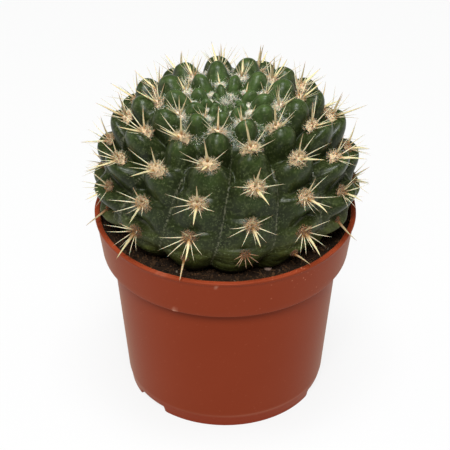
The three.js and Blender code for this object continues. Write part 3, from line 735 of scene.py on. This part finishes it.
def plant_body():
    angle = np.linspace(BODY_FIRST_ANGLE, BODY_LAST_ANGLE, BODY_ROWS)[:, None]
    azimuth = (np.arange(BODY_COLUMNS) * 360 / BODY_COLUMNS)[None, :]
    lift = relief(growth_position(angle), azimuth)
    points, normals = globe_point(angle, azimuth, lift)
    swell = wobble(points, SWELL_SCALE, 1) * lerp(*SWELL_DEPTHS, smooth_step(*SWELL_ROWS, angle))
    grain = wobble(points, GRAIN_SCALE, 2) * GRAIN_DEPTH
    edge = rib_edge(angle, azimuth)
    dents = LOW_GROOVE_DEPTH * edge ** 2 * smooth_step(*LOW_GROOVE_ROWS, angle)
    points = points + normals * (swell + wrinkles(points, angle) + grain - dents)[..., None]
    apex, _ = globe_point(0.0, 0.0, lift[0].mean())
    bottom, _ = globe_point(180.0, 0.0)
    faces = [face[::-1] for face in closed_faces(BODY_ROWS, BODY_COLUMNS)]
    crown = np.repeat(1 - smooth_step(*CROWN_COLOR_ROWS, angle), BODY_COLUMNS)
    low = np.repeat(smooth_step(*LOW_COLOR_ROWS, angle), BODY_COLUMNS)
    attributes = {
        "crown": with_ends(crown, 1.0, 0.0),
        "low": with_ends(low, 0.0, 1.0),
        "rib_edge": with_ends(edge),
        # The chin faces, where light is painted on the skin.
        "chin": with_ends(chin_share(angle, azimuth)),
    }
    points = np.concatenate([points.reshape(-1, 3), [apex, bottom]])
    plant_piece("plant_body", points, faces, skin_material(), attributes)


# Areoles.
def areole_frames(n):
    """Where areoles sit and which way they face: point, facing, slope (down) and side of each."""
    angle, size, _, _ = tubercle_size(n / RIBS)
    azimuth = areole_azimuth(n)
    lift = relief(n / RIBS, azimuth)
    point, normal = globe_point(angle, azimuth, lift)
    below, _ = globe_point(angle + 1, azimuth, lift)
    down = square_to(normal, unit(below - point))
    tilt = AREOLE_TILT * crease_depth(1, PLANT_NOTCH_FADE, angle, size)
    return {
        "n": n, "angle": angle, "grown": smooth_step(YOUNG_SIZE, GROWN_SIZE, size), "point": point,
        "side": unit(np.cross(down, normal)),
        "facing": swing(normal, -down, tilt),
        "slope": swing(down, normal, tilt),
    }


def areole_axes(areoles, i):
    return np.stack([areoles[key][i] for key in ("side", "slope", "facing")])


# Spines.
def clear_tips(starts, tips):
    """Keeps spine tips inside the plant's reach, over the soil and clear of the rim."""
    reach, start_reach = flat_radius(tips), flat_radius(starts)
    share = np.where(reach > REACH_RADIUS, (REACH_RADIUS - start_reach) / (reach - start_reach), 1.0)
    tips = starts + (tips - starts) * column(np.clip(share, 0.0, 1.0))
    over_rim = smooth_step(*RIM_ZONE, flat_radius(tips))
    floor = lerp(SOIL_LEVEL + SPINE_SOIL_CLEARANCE, POT_HEIGHT + SPINE_RIM_CLEARANCE, over_rim)
    tips[:, 2] = np.maximum(tips[:, 2], floor)
    return tips


def skin_height(points):
    """How far points stand over the skin, measured along the globe's normal."""
    local = (points - GLOBE_CENTRE) @ LEAN
    x, y, z = np.moveaxis(local, -1, 0)
    azimuth = np.degrees(np.arctan2(x, -y))
    angle = np.degrees(np.arctan2(np.hypot(x, y) / globe_radius(azimuth), z / globe_height(z < 0)))
    angle = np.maximum(angle, BODY_FIRST_ANGLE)
    surface, normal = globe_point(angle, azimuth)
    return ((points - surface) * normal).sum(-1) - relief(growth_position(angle), azimuth)


def cleared_tips(areoles, start, turn, rise, length):
    """Tips of spines that rise as far as it takes for their length to stand clear of the skin."""
    flat = swing(areoles["slope"], areoles["side"], turn)
    for _ in range(CLEAR_STEPS + 1):
        tip = clear_tips(start, start + swing(flat, areoles["facing"], rise) * column(length))
        line = start[:, None] + (tip - start)[:, None] * column(CLEAR_SAMPLES)
        blocked = (skin_height(line) < CLEAR_HEIGHT).any(axis=1)
        rise = np.minimum(rise + CLEAR_ANGLE * blocked, STEEPEST_RISE)
    return tip


def spine_rods(areoles, kind, k, turn):
    """Roots, tips, bends, flat axes, widths and age of one spine of every areole given; k is its draw."""
    n, grown, facing = areoles["n"], areoles["grown"], areoles["facing"]
    scale = lerp(YOUNG_SPINE_SCALE, 1, grown)
    length = kind["length"] * scale * (1 + spread(n, k, kind["length_spread"]))
    length = length * lerp(*kind["row_lengths"], smooth_step(*kind["rows"], areoles["angle"]))
    width = kind["width"] * lerp(YOUNG_SPINE_WIDTH, 1, grown)
    if kind is RADIAL:
        # They are longest and thickest at the sides.
        sideways = abs(math.sin(turn * DEG))
        length = length * (0.68 + 0.36 * sideways) * np.where(n >= AGED_AREOLE, AGED_RADIAL_SHARE, 1.0)
        width = width * (0.72 + 0.28 * sideways)
    down = math.cos(turn * DEG)
    rise = kind["rise"] + kind["young_rise"] * (1 - grown) + spread(n, k + RISE_DRAW, kind["rise_spread"])
    rise = rise + (kind["down_rise"] if down > 0 else -kind["up_rise"]) * down
    rise = rise + CROWN_SPINE_RISE * (1 - smooth_step(*CROWN_SPINE_FADE, areoles["angle"]))
    outset = swing(areoles["slope"], areoles["side"], turn) * column(kind["outset"] * scale)
    start = areoles["point"] + outset + facing * column(ROOT_LIFT * scale)
    swung = turn + spread(n, k + TURN_DRAW, kind["turn_spread"])
    tip = cleared_tips(areoles, start, swung, rise, length)
    root = start - facing * column(ROOT_SINK * scale)
    flat_axis = np.cross(unit(tip - root), facing)
    bend = facing * column(length * spread(n, k + BEND_DRAW, SPINE_BEND))
    side_bend = flat_axis * column(length * spread(n, k + SIDE_BEND_DRAW, SPINE_SIDE_BEND))
    return root, tip, bend + side_bend, flat_axis, width, n >= AGED_AREOLE


def spine_piece(name, kind, areoles, keeps, material):
    """All spines of a kind; keeps says for each of its turns which areoles bear that spine."""
    parts = []
    for turn, k, keep in zip(kind["turns"], kind["draws"], keeps):
        bearing = {key: values[keep] for key, values in areoles.items()}
        parts.append(spine_rods(bearing, kind, k, turn))
    roots, tips, bends, axes, widths, aged = (np.concatenate(values) for values in zip(*parts))
    points, faces, along, rod = rods(
        roots, tips, bends, axes, widths, kind["flat"], SPINE_SIDES, SPINE_RINGS, SPINE_TAPER)
    plant_piece(name, points, faces, material, {"along": along, "tone": draw(rod, 7), "aged": aged[rod]})


def spines(areoles):
    n = areoles["n"]
    radial = (n >= YOUNG_CROWN) & (n < SPENT_AREOLE)
    lower = (n >= BARE_CROWN) & (n != BROKEN_CENTRAL)
    upper = (n >= YOUNG_CROWN) & (n < AGED_AREOLE)
    second_upper = upper & (areoles["angle"] < SECOND_UPPER_ROWS) & (draw(n, 140) < SECOND_UPPER_SHARE)
    cream = spine_material("spine_cream", (156, 126, 86), (208, 200, 166), (184, 168, 134), 0.7, 0.8)
    straw = spine_material("spine_straw", (156, 116, 68), (212, 200, 152), (156, 122, 78), 0.85, 0.4)
    tan = spine_material("spine_tan", (146, 106, 64), (202, 186, 144), (156, 132, 98), 0.65, 0.6)
    spine_piece("radial_spines", RADIAL, areoles, [radial] * len(RADIAL["turns"]), cream)
    spine_piece("lower_central_spines", LOWER_CENTRAL, areoles, [lower], straw)
    spine_piece("upper_central_spines", UPPER_CENTRAL, areoles, [upper, second_upper], tan)


# Wool.
def pad_height(r, theta, lumps):
    """Height over the areole of a two-lobed cushion; r and theta are polar in its outline."""
    dip = 0.3 * bell(r * np.cos(theta), 0.28)
    return (1 - 1.6 * r ** 3) * (1 - dip) * (1 + 0.3 * lumps)


def pad_scale(areoles):
    """Pads are small on the young tubercles of the crown and worn down on the oldest ones."""
    n = areoles["n"]
    worn = np.where(n >= SPENT_AREOLE, SPENT_PAD_SHARE, np.where(n >= AGED_AREOLE, AGED_PAD_SHARE, 1.0))
    old = smooth_step(*OLD_PAD_ROWS, areoles["angle"])
    return lerp(YOUNG_PAD_SCALE, 1, areoles["grown"]) * worn * lerp(1, OLD_PAD_SHARE, old)


def on_pad(areoles, i, r, theta, lumps, scale, sink=0.0):
    """Points on a pad's top or sunken under it."""
    x, y = polar(r * (1 + PAD_LUMPS * lumps) * scale / 2, theta)
    z = (PAD_HEIGHT * pad_height(np.minimum(r, 1), theta, lumps) + PAD_BASE) * scale - sink
    return areoles["point"][i] + xyz(x * PAD_WIDTH, y * PAD_LENGTH, z) @ areole_axes(areoles, i)


def wool_age(areoles, i, count):
    angle = areoles["angle"][i]
    return np.full(count, 0.5 * smooth_step(18, 36, angle) + 0.5 * smooth_step(44, 106, angle))


def areole_pads(areoles, material):
    rings = np.linspace(0, 1, PAD_RINGS + 1)[1:]
    grids = np.meshgrid(rings, full_turn(PAD_SECTORS), indexing="ij")
    r, theta = (np.append(grid, 0.0) for grid in grids)
    count = len(r)
    pattern = grid_faces(PAD_RINGS, PAD_SECTORS)
    pattern += [(count - 1, (j + 1) % PAD_SECTORS, j) for j in range(PAD_SECTORS)]
    bottom = tuple(range(count - 1 - PAD_SECTORS, count - 1))
    pattern = [face[::-1] for face in pattern] + [bottom]
    parts = []
    for i, (n, scale) in enumerate(zip(areoles["n"], pad_scale(areoles))):
        lumps = spread(n * 131 + np.arange(count), 90, 1.0)
        tone = 0.45 + 0.5 * draw(n * 57 + np.arange(count), 91)
        parts.append((on_pad(areoles, i, r, theta, lumps, scale), tone, wool_age(areoles, i, count)))
    points, tones, ages = (np.concatenate(values) for values in zip(*parts))
    faces = repeated_faces(pattern, len(parts), count)
    plant_piece("areole_wool", points, faces, material, {"tone": tones, "age": ages})


def hair_piece(name, parts, width, material):
    """Hairs from sets of roots, tips, bends, flat axes, tones and ages."""
    roots, tips, bends, axes, tones, ages = (np.concatenate(values) for values in zip(*parts))
    points, faces, _, hair = rods(roots, tips, bends, axes, width, 1.0, 3, 2, 0.5)
    plant_piece(name, points, faces, material, {"tone": tones[hair], "age": ages[hair]})


def areole_hairs(name, first_key, areoles, material):
    parts = []
    for i, (n, scale) in enumerate(zip(areoles["n"], pad_scale(areoles))):
        key = first_key + n * 211 + np.arange(HAIRS_PER_PAD)
        r = np.sqrt(draw(key, 60)) * 1.05
        theta = draw(key, 61) * math.tau
        root = on_pad(areoles, i, r, theta, 0, scale, 0.3)
        axes = areole_axes(areoles, i)
        x, y = polar(0.35 + 0.75 * r, theta)
        x, y = x + spread(key, 62, 0.55), y + spread(key, 63, 0.55)
        direction = unit(xyz(x, y, 0.75 - 0.4 * r + spread(key, 64, 0.25))) @ axes
        length = (0.7 + 1.3 * draw(key, 65)) * lerp(0.6, 1, scale)
        curl = xyz(spread(key, 66, 0.3), spread(key, 67, 0.3), spread(key, 68, 0.2)) @ axes
        flat_axis = np.broadcast_to(axes[0] + 0.01, root.shape)
        age = wool_age(areoles, i, HAIRS_PER_PAD)
        parts.append((root, root + direction * column(length), curl, flat_axis, draw(key, 69), age))
    hair_piece(name, parts, HAIR_WIDTH, material)


def crown_hairs(name, key, k, place, upright, scatter, length, curl, width, material):
    """Young wool of the crown: hairs that start at a place and lean and curl at random; k is a draw."""
    root, normal = globe_point(*place)
    around = unit(np.cross(normal, [0.3, 0.2, 1.0]))
    other = np.cross(normal, around)

    def sideways(first, amount):
        return around * column(spread(key, first, amount)) + other * column(spread(key, first + 1, amount))

    direction = unit(normal * column(upright) + sideways(k, scatter))
    tip = root + direction * column(lerp(*length, draw(key, k + 2)))
    part = (root, tip, sideways(k + 3, curl), around, draw(key, k + 5), np.zeros(len(key)))
    hair_piece(name, [part], width, material)


def apex_wool(material):
    key = np.arange(APEX_HAIRS)
    x, y = polar(APEX_WOOL_RADIUS * np.sqrt(draw(key, 31)), math.tau * draw(key, 32))
    x, y = x + APEX_WOOL_OFFSET, y * 0.75
    angle = np.maximum(0.5, np.hypot(x, y) / meridian_scale(0.0))
    azimuth = np.degrees(np.arctan2(x, -y))
    place = (angle, azimuth, relief(growth_position(angle), azimuth) - 0.3)
    upright = 0.55 + 0.3 * draw(key, 33)
    crown_hairs("apex_wool", key, 34, place, upright, 1.0, APEX_HAIR_LENGTH, 0.8, 0.12, material)


def gap_wool(material):
    """Short pale wool in the valleys between the young tubercles."""
    key = 20000 + np.arange(GAP_HAIRS)
    angle = lerp(*GAP_ROWS, np.sqrt(draw(key, 41)))
    azimuth = 360 * draw(key, 42)
    fall, top, valley = relief_parts(growth_position(angle), azimuth)
    deep = -fall > GAP_DEPTH * valley
    place = (angle[deep], azimuth[deep], (fall + top)[deep] - 0.1)
    crown_hairs("gap_wool", key[deep], 43, place, 0.6, 0.9, GAP_HAIR_LENGTH, 0.3, 0.11, material)


# Pot.
def arc(centre_r, centre_z, radius, start, end, steps):
    turn = np.linspace(start, end, steps) * DEG
    return [(centre_r + radius * math.cos(a), centre_z + radius * math.sin(a)) for a in turn]


def straight(start, end, steps):
    return [tuple(lerp(np.array(start), np.array(end), t)) for t in np.linspace(0, 1, steps + 1)[:-1]]


def body_radius(z):
    t = (z - FOOT_STRIP_HEIGHT) / (STEP_HEIGHT - FOOT_STRIP_HEIGHT)
    return lerp(BODY_FOOT_RADIUS, BODY_TOP_RADIUS, t)


def collar_radius(z):
    return lerp(COLLAR_FOOT_RADIUS, RIM_RADIUS, (z - STEP_HEIGHT) / COLLAR_HEIGHT)


def on_body(z, inset=0.0):
    return body_radius(z) - inset, z


def on_collar(z, inset=0.0):
    return collar_radius(z) - inset, z


def outer_profile():
    """The pot's outline from the middle of its underside to the top of its rim."""
    ring = FOOT_RADIUS - FOOT_RING_WIDTH
    strip, fillet_z = FOOT_STRIP_HEIGHT, STEP_HEIGHT - STEP_FILLET
    under_lip = POT_HEIGHT - LIP_EDGE
    neck = collar_radius(under_lip) - LIP_OVERHANG
    return [
        (0.0, FLOOR_LIFT),
        *straight((ring * 0.5, FLOOR_LIFT), (ring - 0.3, FLOOR_LIFT), 3),
        *arc(ring - 0.3, FLOOR_LIFT - 0.3, 0.3, 90, 0, 3),
        *arc(ring + EDGE_ROUND, EDGE_ROUND, EDGE_ROUND, 180, 270, 4),
        *arc(FOOT_RADIUS - FOOT_ROUND, FOOT_ROUND, FOOT_ROUND, 270, 352, 5),
        *straight((FOOT_RADIUS + 0.06, 1.0), (body_radius(strip) - 0.05, strip - 0.35), 4),
        (body_radius(strip), strip - 0.1), (body_radius(strip) + 0.03, strip + 0.3),
        *straight(on_body(strip + 1.0), on_body(fillet_z), 14),
        *arc(body_radius(fillet_z) + STEP_FILLET, fillet_z, STEP_FILLET, 180, 95, 5),
        *arc(COLLAR_FOOT_RADIUS - EDGE_ROUND, STEP_HEIGHT + EDGE_ROUND, EDGE_ROUND, 270, 360, 5),
        *straight(on_collar(STEP_HEIGHT + 0.8), (neck, under_lip - 0.3), 8),
        *arc(neck + 0.15, under_lip - 0.15, 0.15, 180, 90, 3),
        *arc(RIM_RADIUS - LIP_ROUND, under_lip + LIP_ROUND, LIP_ROUND, 270, 360, 4),
        *arc(RIM_RADIUS - LIP_ROUND, POT_HEIGHT - LIP_ROUND, LIP_ROUND, 0, 90, 5),
    ]


def inner_profile():
    """The pot's outline from the top of its rim down to the middle of its floor."""
    ledge, lip, floor = STEP_HEIGHT + WALL, POT_HEIGHT - LIP_HEIGHT, FLOOR_LIFT + WALL
    inner, wall_top = collar_radius(lip), body_radius(STEP_HEIGHT) - WALL
    return [
        *arc(RIM_RADIUS - LIP_WALL + LIP_ROUND, POT_HEIGHT - LIP_ROUND, LIP_ROUND, 90, 180, 5),
        (inner - LIP_WALL, lip + 0.2), (inner - WALL - 0.2, lip - 0.1), (inner - WALL, lip - 0.6),
        *straight(on_collar(lip - 1.5, WALL), on_collar(ledge + 0.4, WALL), 5),
        on_collar(ledge, WALL), (wall_top, ledge),
        *straight((wall_top, ledge - 0.4), on_body(floor, WALL), 5),
        on_body(floor, WALL), ((FOOT_RADIUS - FOOT_RING_WIDTH) * 0.5, floor), (0.0, floor),
    ]


def pot(material):
    profile = np.array(outer_profile() + inner_profile())
    azimuth = np.arange(POT_COLUMNS) * 360 / POT_COLUMNS

    def near(centre, half_width):
        return bell(wrap_degrees(azimuth - centre), half_width)

    radius, height = (np.repeat(values[1:-1, None], POT_COLUMNS, axis=1) for values in profile.T)
    # Notches in the edge of the foot.
    half = math.degrees(NOTCH_WIDTH / 2 / FOOT_RADIUS)
    roof = np.zeros(POT_COLUMNS)
    for centre in NOTCH_AZIMUTHS:
        away = np.abs(wrap_degrees(azimuth - centre))
        roof = np.maximum(roof, NOTCH_HEIGHT * (1 - smooth_step(half - 0.7, half + 0.9, away)))
    low = (height < FLOOR_LIFT) & (radius > FOOT_RADIUS - FOOT_RING_WIDTH - 1)
    height = np.where(low, roof + height * (FLOOR_LIFT - roof) / FLOOR_LIFT, height)
    # Burr and ripple of the lip, and moulding nibs on the collar and the lip.
    outer = radius > collar_radius(height) - 0.9
    at_lip = smooth_step(POT_HEIGHT - 0.8, POT_HEIGHT - 0.2, height) * (radius > RIM_RADIUS - LIP_WALL - 0.5)
    burr = near(BURR_AZIMUTH, 3.2) * (0.6 + 0.4 * np.sin(azimuth * 2.9)) * at_lip
    ripple = 0.05 * np.sin(azimuth * DEG * 7 + 1.0) + 0.04 * np.sin(azimuth * DEG * 19)
    radius = radius + BURR_HEIGHT * burr * outer + ripple * at_lip
    collar_nib = bell(height - STEP_HEIGHT - 0.2, 0.7) * (radius > BODY_TOP_RADIUS + 1)
    lip_nib = bell(height - POT_HEIGHT + LIP_EDGE + 0.1, 0.3) * outer
    nib = near(COLLAR_NIB_AZIMUTH, 0.75) * collar_nib
    nib = nib + 0.55 * near(LIP_NIB_AZIMUTH, 0.6) * lip_nib
    radius = radius + NIB_HEIGHT * nib
    # Colours: wear on nibs and burr, a painted highlight along the top edge of the foot strip, painted shade
    # in the corner under the collar, and dust.
    strip_edge = bell(height - FOOT_STRIP_HEIGHT + 0.1, 0.3) * (radius > BODY_FOOT_RADIUS - 0.6)
    # Painted highlight along the top edge of the foot strip, stronger towards one side.
    strip_highlight = strip_edge * (0.04 + 0.08 * near(25, 30))
    strip = smooth_step(FOOT_STRIP_HEIGHT, FOOT_STRIP_HEIGHT - 0.5, height)
    # Painted shade in the corner just under the collar's overhang.
    corner = bell(height - STEP_HEIGHT + 0.5, 0.7) * (radius < BODY_TOP_RADIUS + STEP_FILLET)
    attributes = {
        # The lip's top face, which takes painted shade.
        "lip": with_ends(at_lip),
        "wear": with_ends(np.clip(0.8 * nib + 0.1 * burr + strip_highlight, 0, 1)),
        "dusty": with_ends(0.12 + (height > STEP_HEIGHT + 1) * near(36, 16)),
        "strip": with_ends(strip, 1.0, 0.0),
        "corner": with_ends(corner),
    }
    points = xyz(radius * np.sin(azimuth * DEG), -radius * np.cos(azimuth * DEG), height).reshape(-1, 3)
    points = np.concatenate([points, [[0, 0, profile[0][1]], [0, 0, profile[-1][1]]]])
    faces = closed_faces(len(profile) - 2, POT_COLUMNS)
    cut_drains(make_piece("plastic_pot", points, faces, material, attributes, "pot"))


def cut_drains(piece):
    """Drain holes through the raised floor: one in the middle and a circle of them."""
    mesh = bpy.data.meshes.new("drains")
    cutter = bmesh.new()
    circle = polar(DRAIN_CIRCLE_RADIUS, full_turn(DRAIN_COUNT))
    for x, y in [(0.0, 0.0), *zip(*circle)]:
        made = bmesh.ops.create_cone(
            cutter, cap_ends=True, segments=24, radius1=DRAIN_RADIUS * MM, radius2=DRAIN_RADIUS * MM,
            depth=6 * WALL * MM)
        bmesh.ops.translate(cutter, verts=made["verts"], vec=Vector((x, y, FLOOR_LIFT + WALL / 2)) * MM)
    cutter.to_mesh(mesh)
    cutter.free()
    tool = add_object("drains", mesh)
    modifier = piece.modifiers.new("drains", "BOOLEAN")
    modifier.object, modifier.operation, modifier.solver = tool, "DIFFERENCE", "EXACT"
    depsgraph = bpy.context.evaluated_depsgraph_get()
    cut = bpy.data.meshes.new_from_object(piece.evaluated_get(depsgraph))
    piece.modifiers.clear()
    whole = piece.data
    piece.data = cut
    bpy.data.meshes.remove(whole)
    bpy.data.objects.remove(tool)
    bpy.data.meshes.remove(mesh)


# Soil.
SOIL_RADIUS = collar_radius(SOIL_LEVEL) - WALL


def on_soil(x, y, rise=0.0):
    """Points that rise over the lumpy top of the soil."""
    point = xyz(x, y, 0.0)
    lumps = 0.9 * wobble(point, 5.0, 11) + 0.5 * wobble(point, 2.0, 12) + 0.25 * wobble(point, 0.9, 13)
    return xyz(x, y, SOIL_LEVEL + lumps - 0.3 + rise)


def soil_bed(material):
    ledge = STEP_HEIGHT + WALL
    floor = FLOOR_LIFT + WALL + SEAT_GAP
    side = [on_body(floor), (body_radius(ledge), ledge + SEAT_GAP), (collar_radius(ledge), ledge + SEAT_GAP)]
    turn = full_turn(SOIL_COLUMNS)
    rings = [xyz(*polar(r - WALL - SEAT_GAP, turn), z) for r, z in side]
    for r in np.linspace(SOIL_RADIUS - 0.1, SOIL_INNER_RADIUS, SOIL_TOP_ROWS):
        rings.append(on_soil(*polar(r, turn)))
    points = np.concatenate(rings + [[[0, 0, floor], [0, 0, SOIL_LEVEL]]])
    tone = np.clip(0.45 + 0.5 * wobble(points, 1.3, 14), 0, 1)
    soil_piece("soil_bed", points, closed_faces(len(rings), SOIL_COLUMNS), material, tone, "soil")


def lump_shape(subdivisions):
    mesh = bmesh.new()
    bmesh.ops.create_icosphere(mesh, subdivisions=subdivisions, radius=1.0)
    points = np.array([v.co for v in mesh.verts])
    faces = [tuple(v.index for v in face.verts) for face in mesh.faces]
    mesh.free()
    return points, faces


def tumbled(points, key):
    """Turns each key's points by a random rotation, drawn as a unit quaternion."""
    turns = unit(np.stack([spread(key, k, 1) for k in (81, 82, 83, 84)], -1))[:, None]
    w, axis = turns[..., :1], turns[..., 1:]
    return points + 2 * w * np.cross(axis, points) + 2 * np.cross(axis, np.cross(axis, points))


def strewn(key, inner, outer):
    """Places on the ring of soil that shows between the plant and the pot."""
    r = np.sqrt(lerp(inner ** 2, outer ** 2, draw(key, 85)))
    return polar(r, math.tau * draw(key, 86))


def crumbs(name, first_key, count, sizes, subdivisions, material, sink=0.15):
    key = first_key + np.arange(count)
    shape, pattern = lump_shape(subdivisions)
    size = lerp(*sizes, draw(key, 87) ** 2)
    stretch = xyz(1 + spread(key, 88, 0.35), 1 + spread(key, 89, 0.35), 0.7 + spread(key, 90, 0.2))
    step = len(shape)
    rough = 1 + 0.22 * spread(key[:, None] * 7 + np.arange(step), 91, 1.0)
    local = shape[None] * rough[..., None] * stretch[:, None] * (size / 2)[:, None, None]
    centre = on_soil(*strewn(key, 27.0, SOIL_RADIUS - 0.9), size * (0.5 - sink) * 0.7)
    points = (tumbled(local, key) + centre[:, None]).reshape(-1, 3)
    tone = np.repeat(draw(key, 92), step)
    soil_piece(name, points, repeated_faces(pattern, count, step), material, tone)


def pebble(material):
    """The one pale pebble that lies on the peat in front of the plant."""
    shape, faces = lump_shape(3)
    rough = 1 + 0.12 * wobble(shape, 0.7, 21)
    points = shape * rough[:, None] * PEBBLE_SIZE + on_soil(*PEBBLE_PLACE, PEBBLE_RISE)
    soil_piece("soil_pebble", points, faces, material, np.full(len(points), 0.6))


def fibres(material):
    key = 9000 + np.arange(FIBRE_COUNT)
    root = on_soil(*strewn(key, 28.0, SOIL_RADIUS - 2.5), 0.1)
    way = unit(xyz(*polar(1.0, math.tau * draw(key, 87)), spread(key, 89, 0.25) + 0.1))
    tip = root + way * column(lerp(*FIBRE_LENGTH, draw(key, 88)))
    tip[:, :2] /= column(np.maximum(1, flat_radius(tip) / (SOIL_RADIUS - 1.0)))
    bend = xyz(spread(key, 93, 0.5), spread(key, 94, 0.5), 0.3 * draw(key, 95))
    up = np.broadcast_to([0.05, 0.02, 1.0], root.shape)
    points, faces, _, rod = rods(root, tip, bend, up, FIBRE_WIDTH, 1.0, 4, 5, 0.35)
    soil_piece("soil_fibres", points, faces, material, draw(rod, 96))


def soil():
    soil_bed(soil_material("peat", (26, 18, 12), (84, 60, 38)))
    crumb = soil_material("peat_crumbs", (28, 20, 14), (112, 80, 50))
    crumbs("soil_crumbs", 1000, 520, (0.8, 2.0), 2, crumb)
    grain = soil_material("peat_grains", (36, 26, 18), (140, 102, 68))
    crumbs("soil_grains", 3000, 2600, (0.3, 0.8), 1, grain)
    grit = soil_material("grit", (84, 72, 60), (158, 146, 126))
    crumbs("soil_grit", 6000, 46, (0.4, 0.9), 2, grit, 0.0)
    pebble(soil_material("pebble", (132, 108, 96), (204, 178, 162)))
    fibres(soil_material("fibre", (70, 48, 30), (150, 112, 74)))


# Stage: lengths in metres.
def stage():
    mesh = bpy.data.meshes.new("floor")
    half = FLOOR_HALF_WIDTH
    corners = [(-half, -half, 0), (half, -half, 0), (half, half, 0), (-half, half, 0)]
    mesh.from_pydata(corners, [], [(0, 1, 2, 3)])
    mesh.materials.append(floor_material())
    add_object("floor", mesh)


def area_light(name, place, size, power, color=(1.0, 1.0, 1.0)):
    data = bpy.data.lights.new(name, "AREA")
    data.shape = "RECTANGLE"
    data.size, data.size_y = size
    data.energy = power
    data.color = color
    light = add_object(name, data)
    light.location = place
    light.rotation_euler = (LIGHT_TARGET - Vector(place)).to_track_quat("-Z", "Y").to_euler()


def lights():
    world = bpy.data.worlds.new("studio")
    world.use_nodes = True
    background = world.node_tree.nodes["Background"]
    background.inputs["Color"].default_value = (1.0, 1.0, 1.0, 1.0)
    background.inputs["Strength"].default_value = 0.12
    bpy.context.scene.world = world
    area_light("top_light", (0.0, -0.05, 0.75), (0.28, 0.22), 5.0, (0.95, 0.98, 1.0))
    area_light("left_light", (-0.7, 0.1, 0.35), (0.4, 0.6), 1.8, (1.0, 0.98, 0.84))
    area_light("right_light", (0.7, 0.1, 0.35), (0.4, 0.6), 1.5, (1.0, 0.98, 0.86))
    area_light("front_light", (-0.05, -0.62, 0.80), (0.35, 0.25), 7.0)


def camera():
    data = bpy.data.cameras.new("camera")
    data.sensor_width = SENSOR_WIDTH
    data.lens = SENSOR_WIDTH * CAMERA_FOCAL_PIXELS / PHOTO_WIDTH
    data.clip_start = 0.01
    made = add_object("camera", data)
    rise = CAMERA_ELEVATION * DEG
    back = Vector((0.0, -math.cos(rise), math.sin(rise)))
    made.location = (CAMERA_TARGET + back * CAMERA_DISTANCE) * MM
    made.rotation_euler = (-back).to_track_quat("-Z", "Y").to_euler()
    bpy.context.scene.camera = made


bpy.context.scene.view_settings.view_transform = "Standard"
camera()
lights()
stage()
pot(pot_material())
soil()
plant_body()
areoles = areole_frames(np.arange(YOUNGEST_AREOLE, OLDEST_AREOLE + 1).astype(float))
spines(areoles)
wool = wool_material("areole_wool", (226, 218, 196), (198, 174, 138), (126, 92, 58))
areole_pads(areoles, wool)
areole_hairs("areole_hairs", 0, areoles, wool)
areole_hairs("areole_fuzz", 50000, areoles, wool)
crown_wool = wool_material("crown_wool", *[(216, 208, 188)] * 3)
apex_wool(crown_wool)
gap_wool(crown_wool)
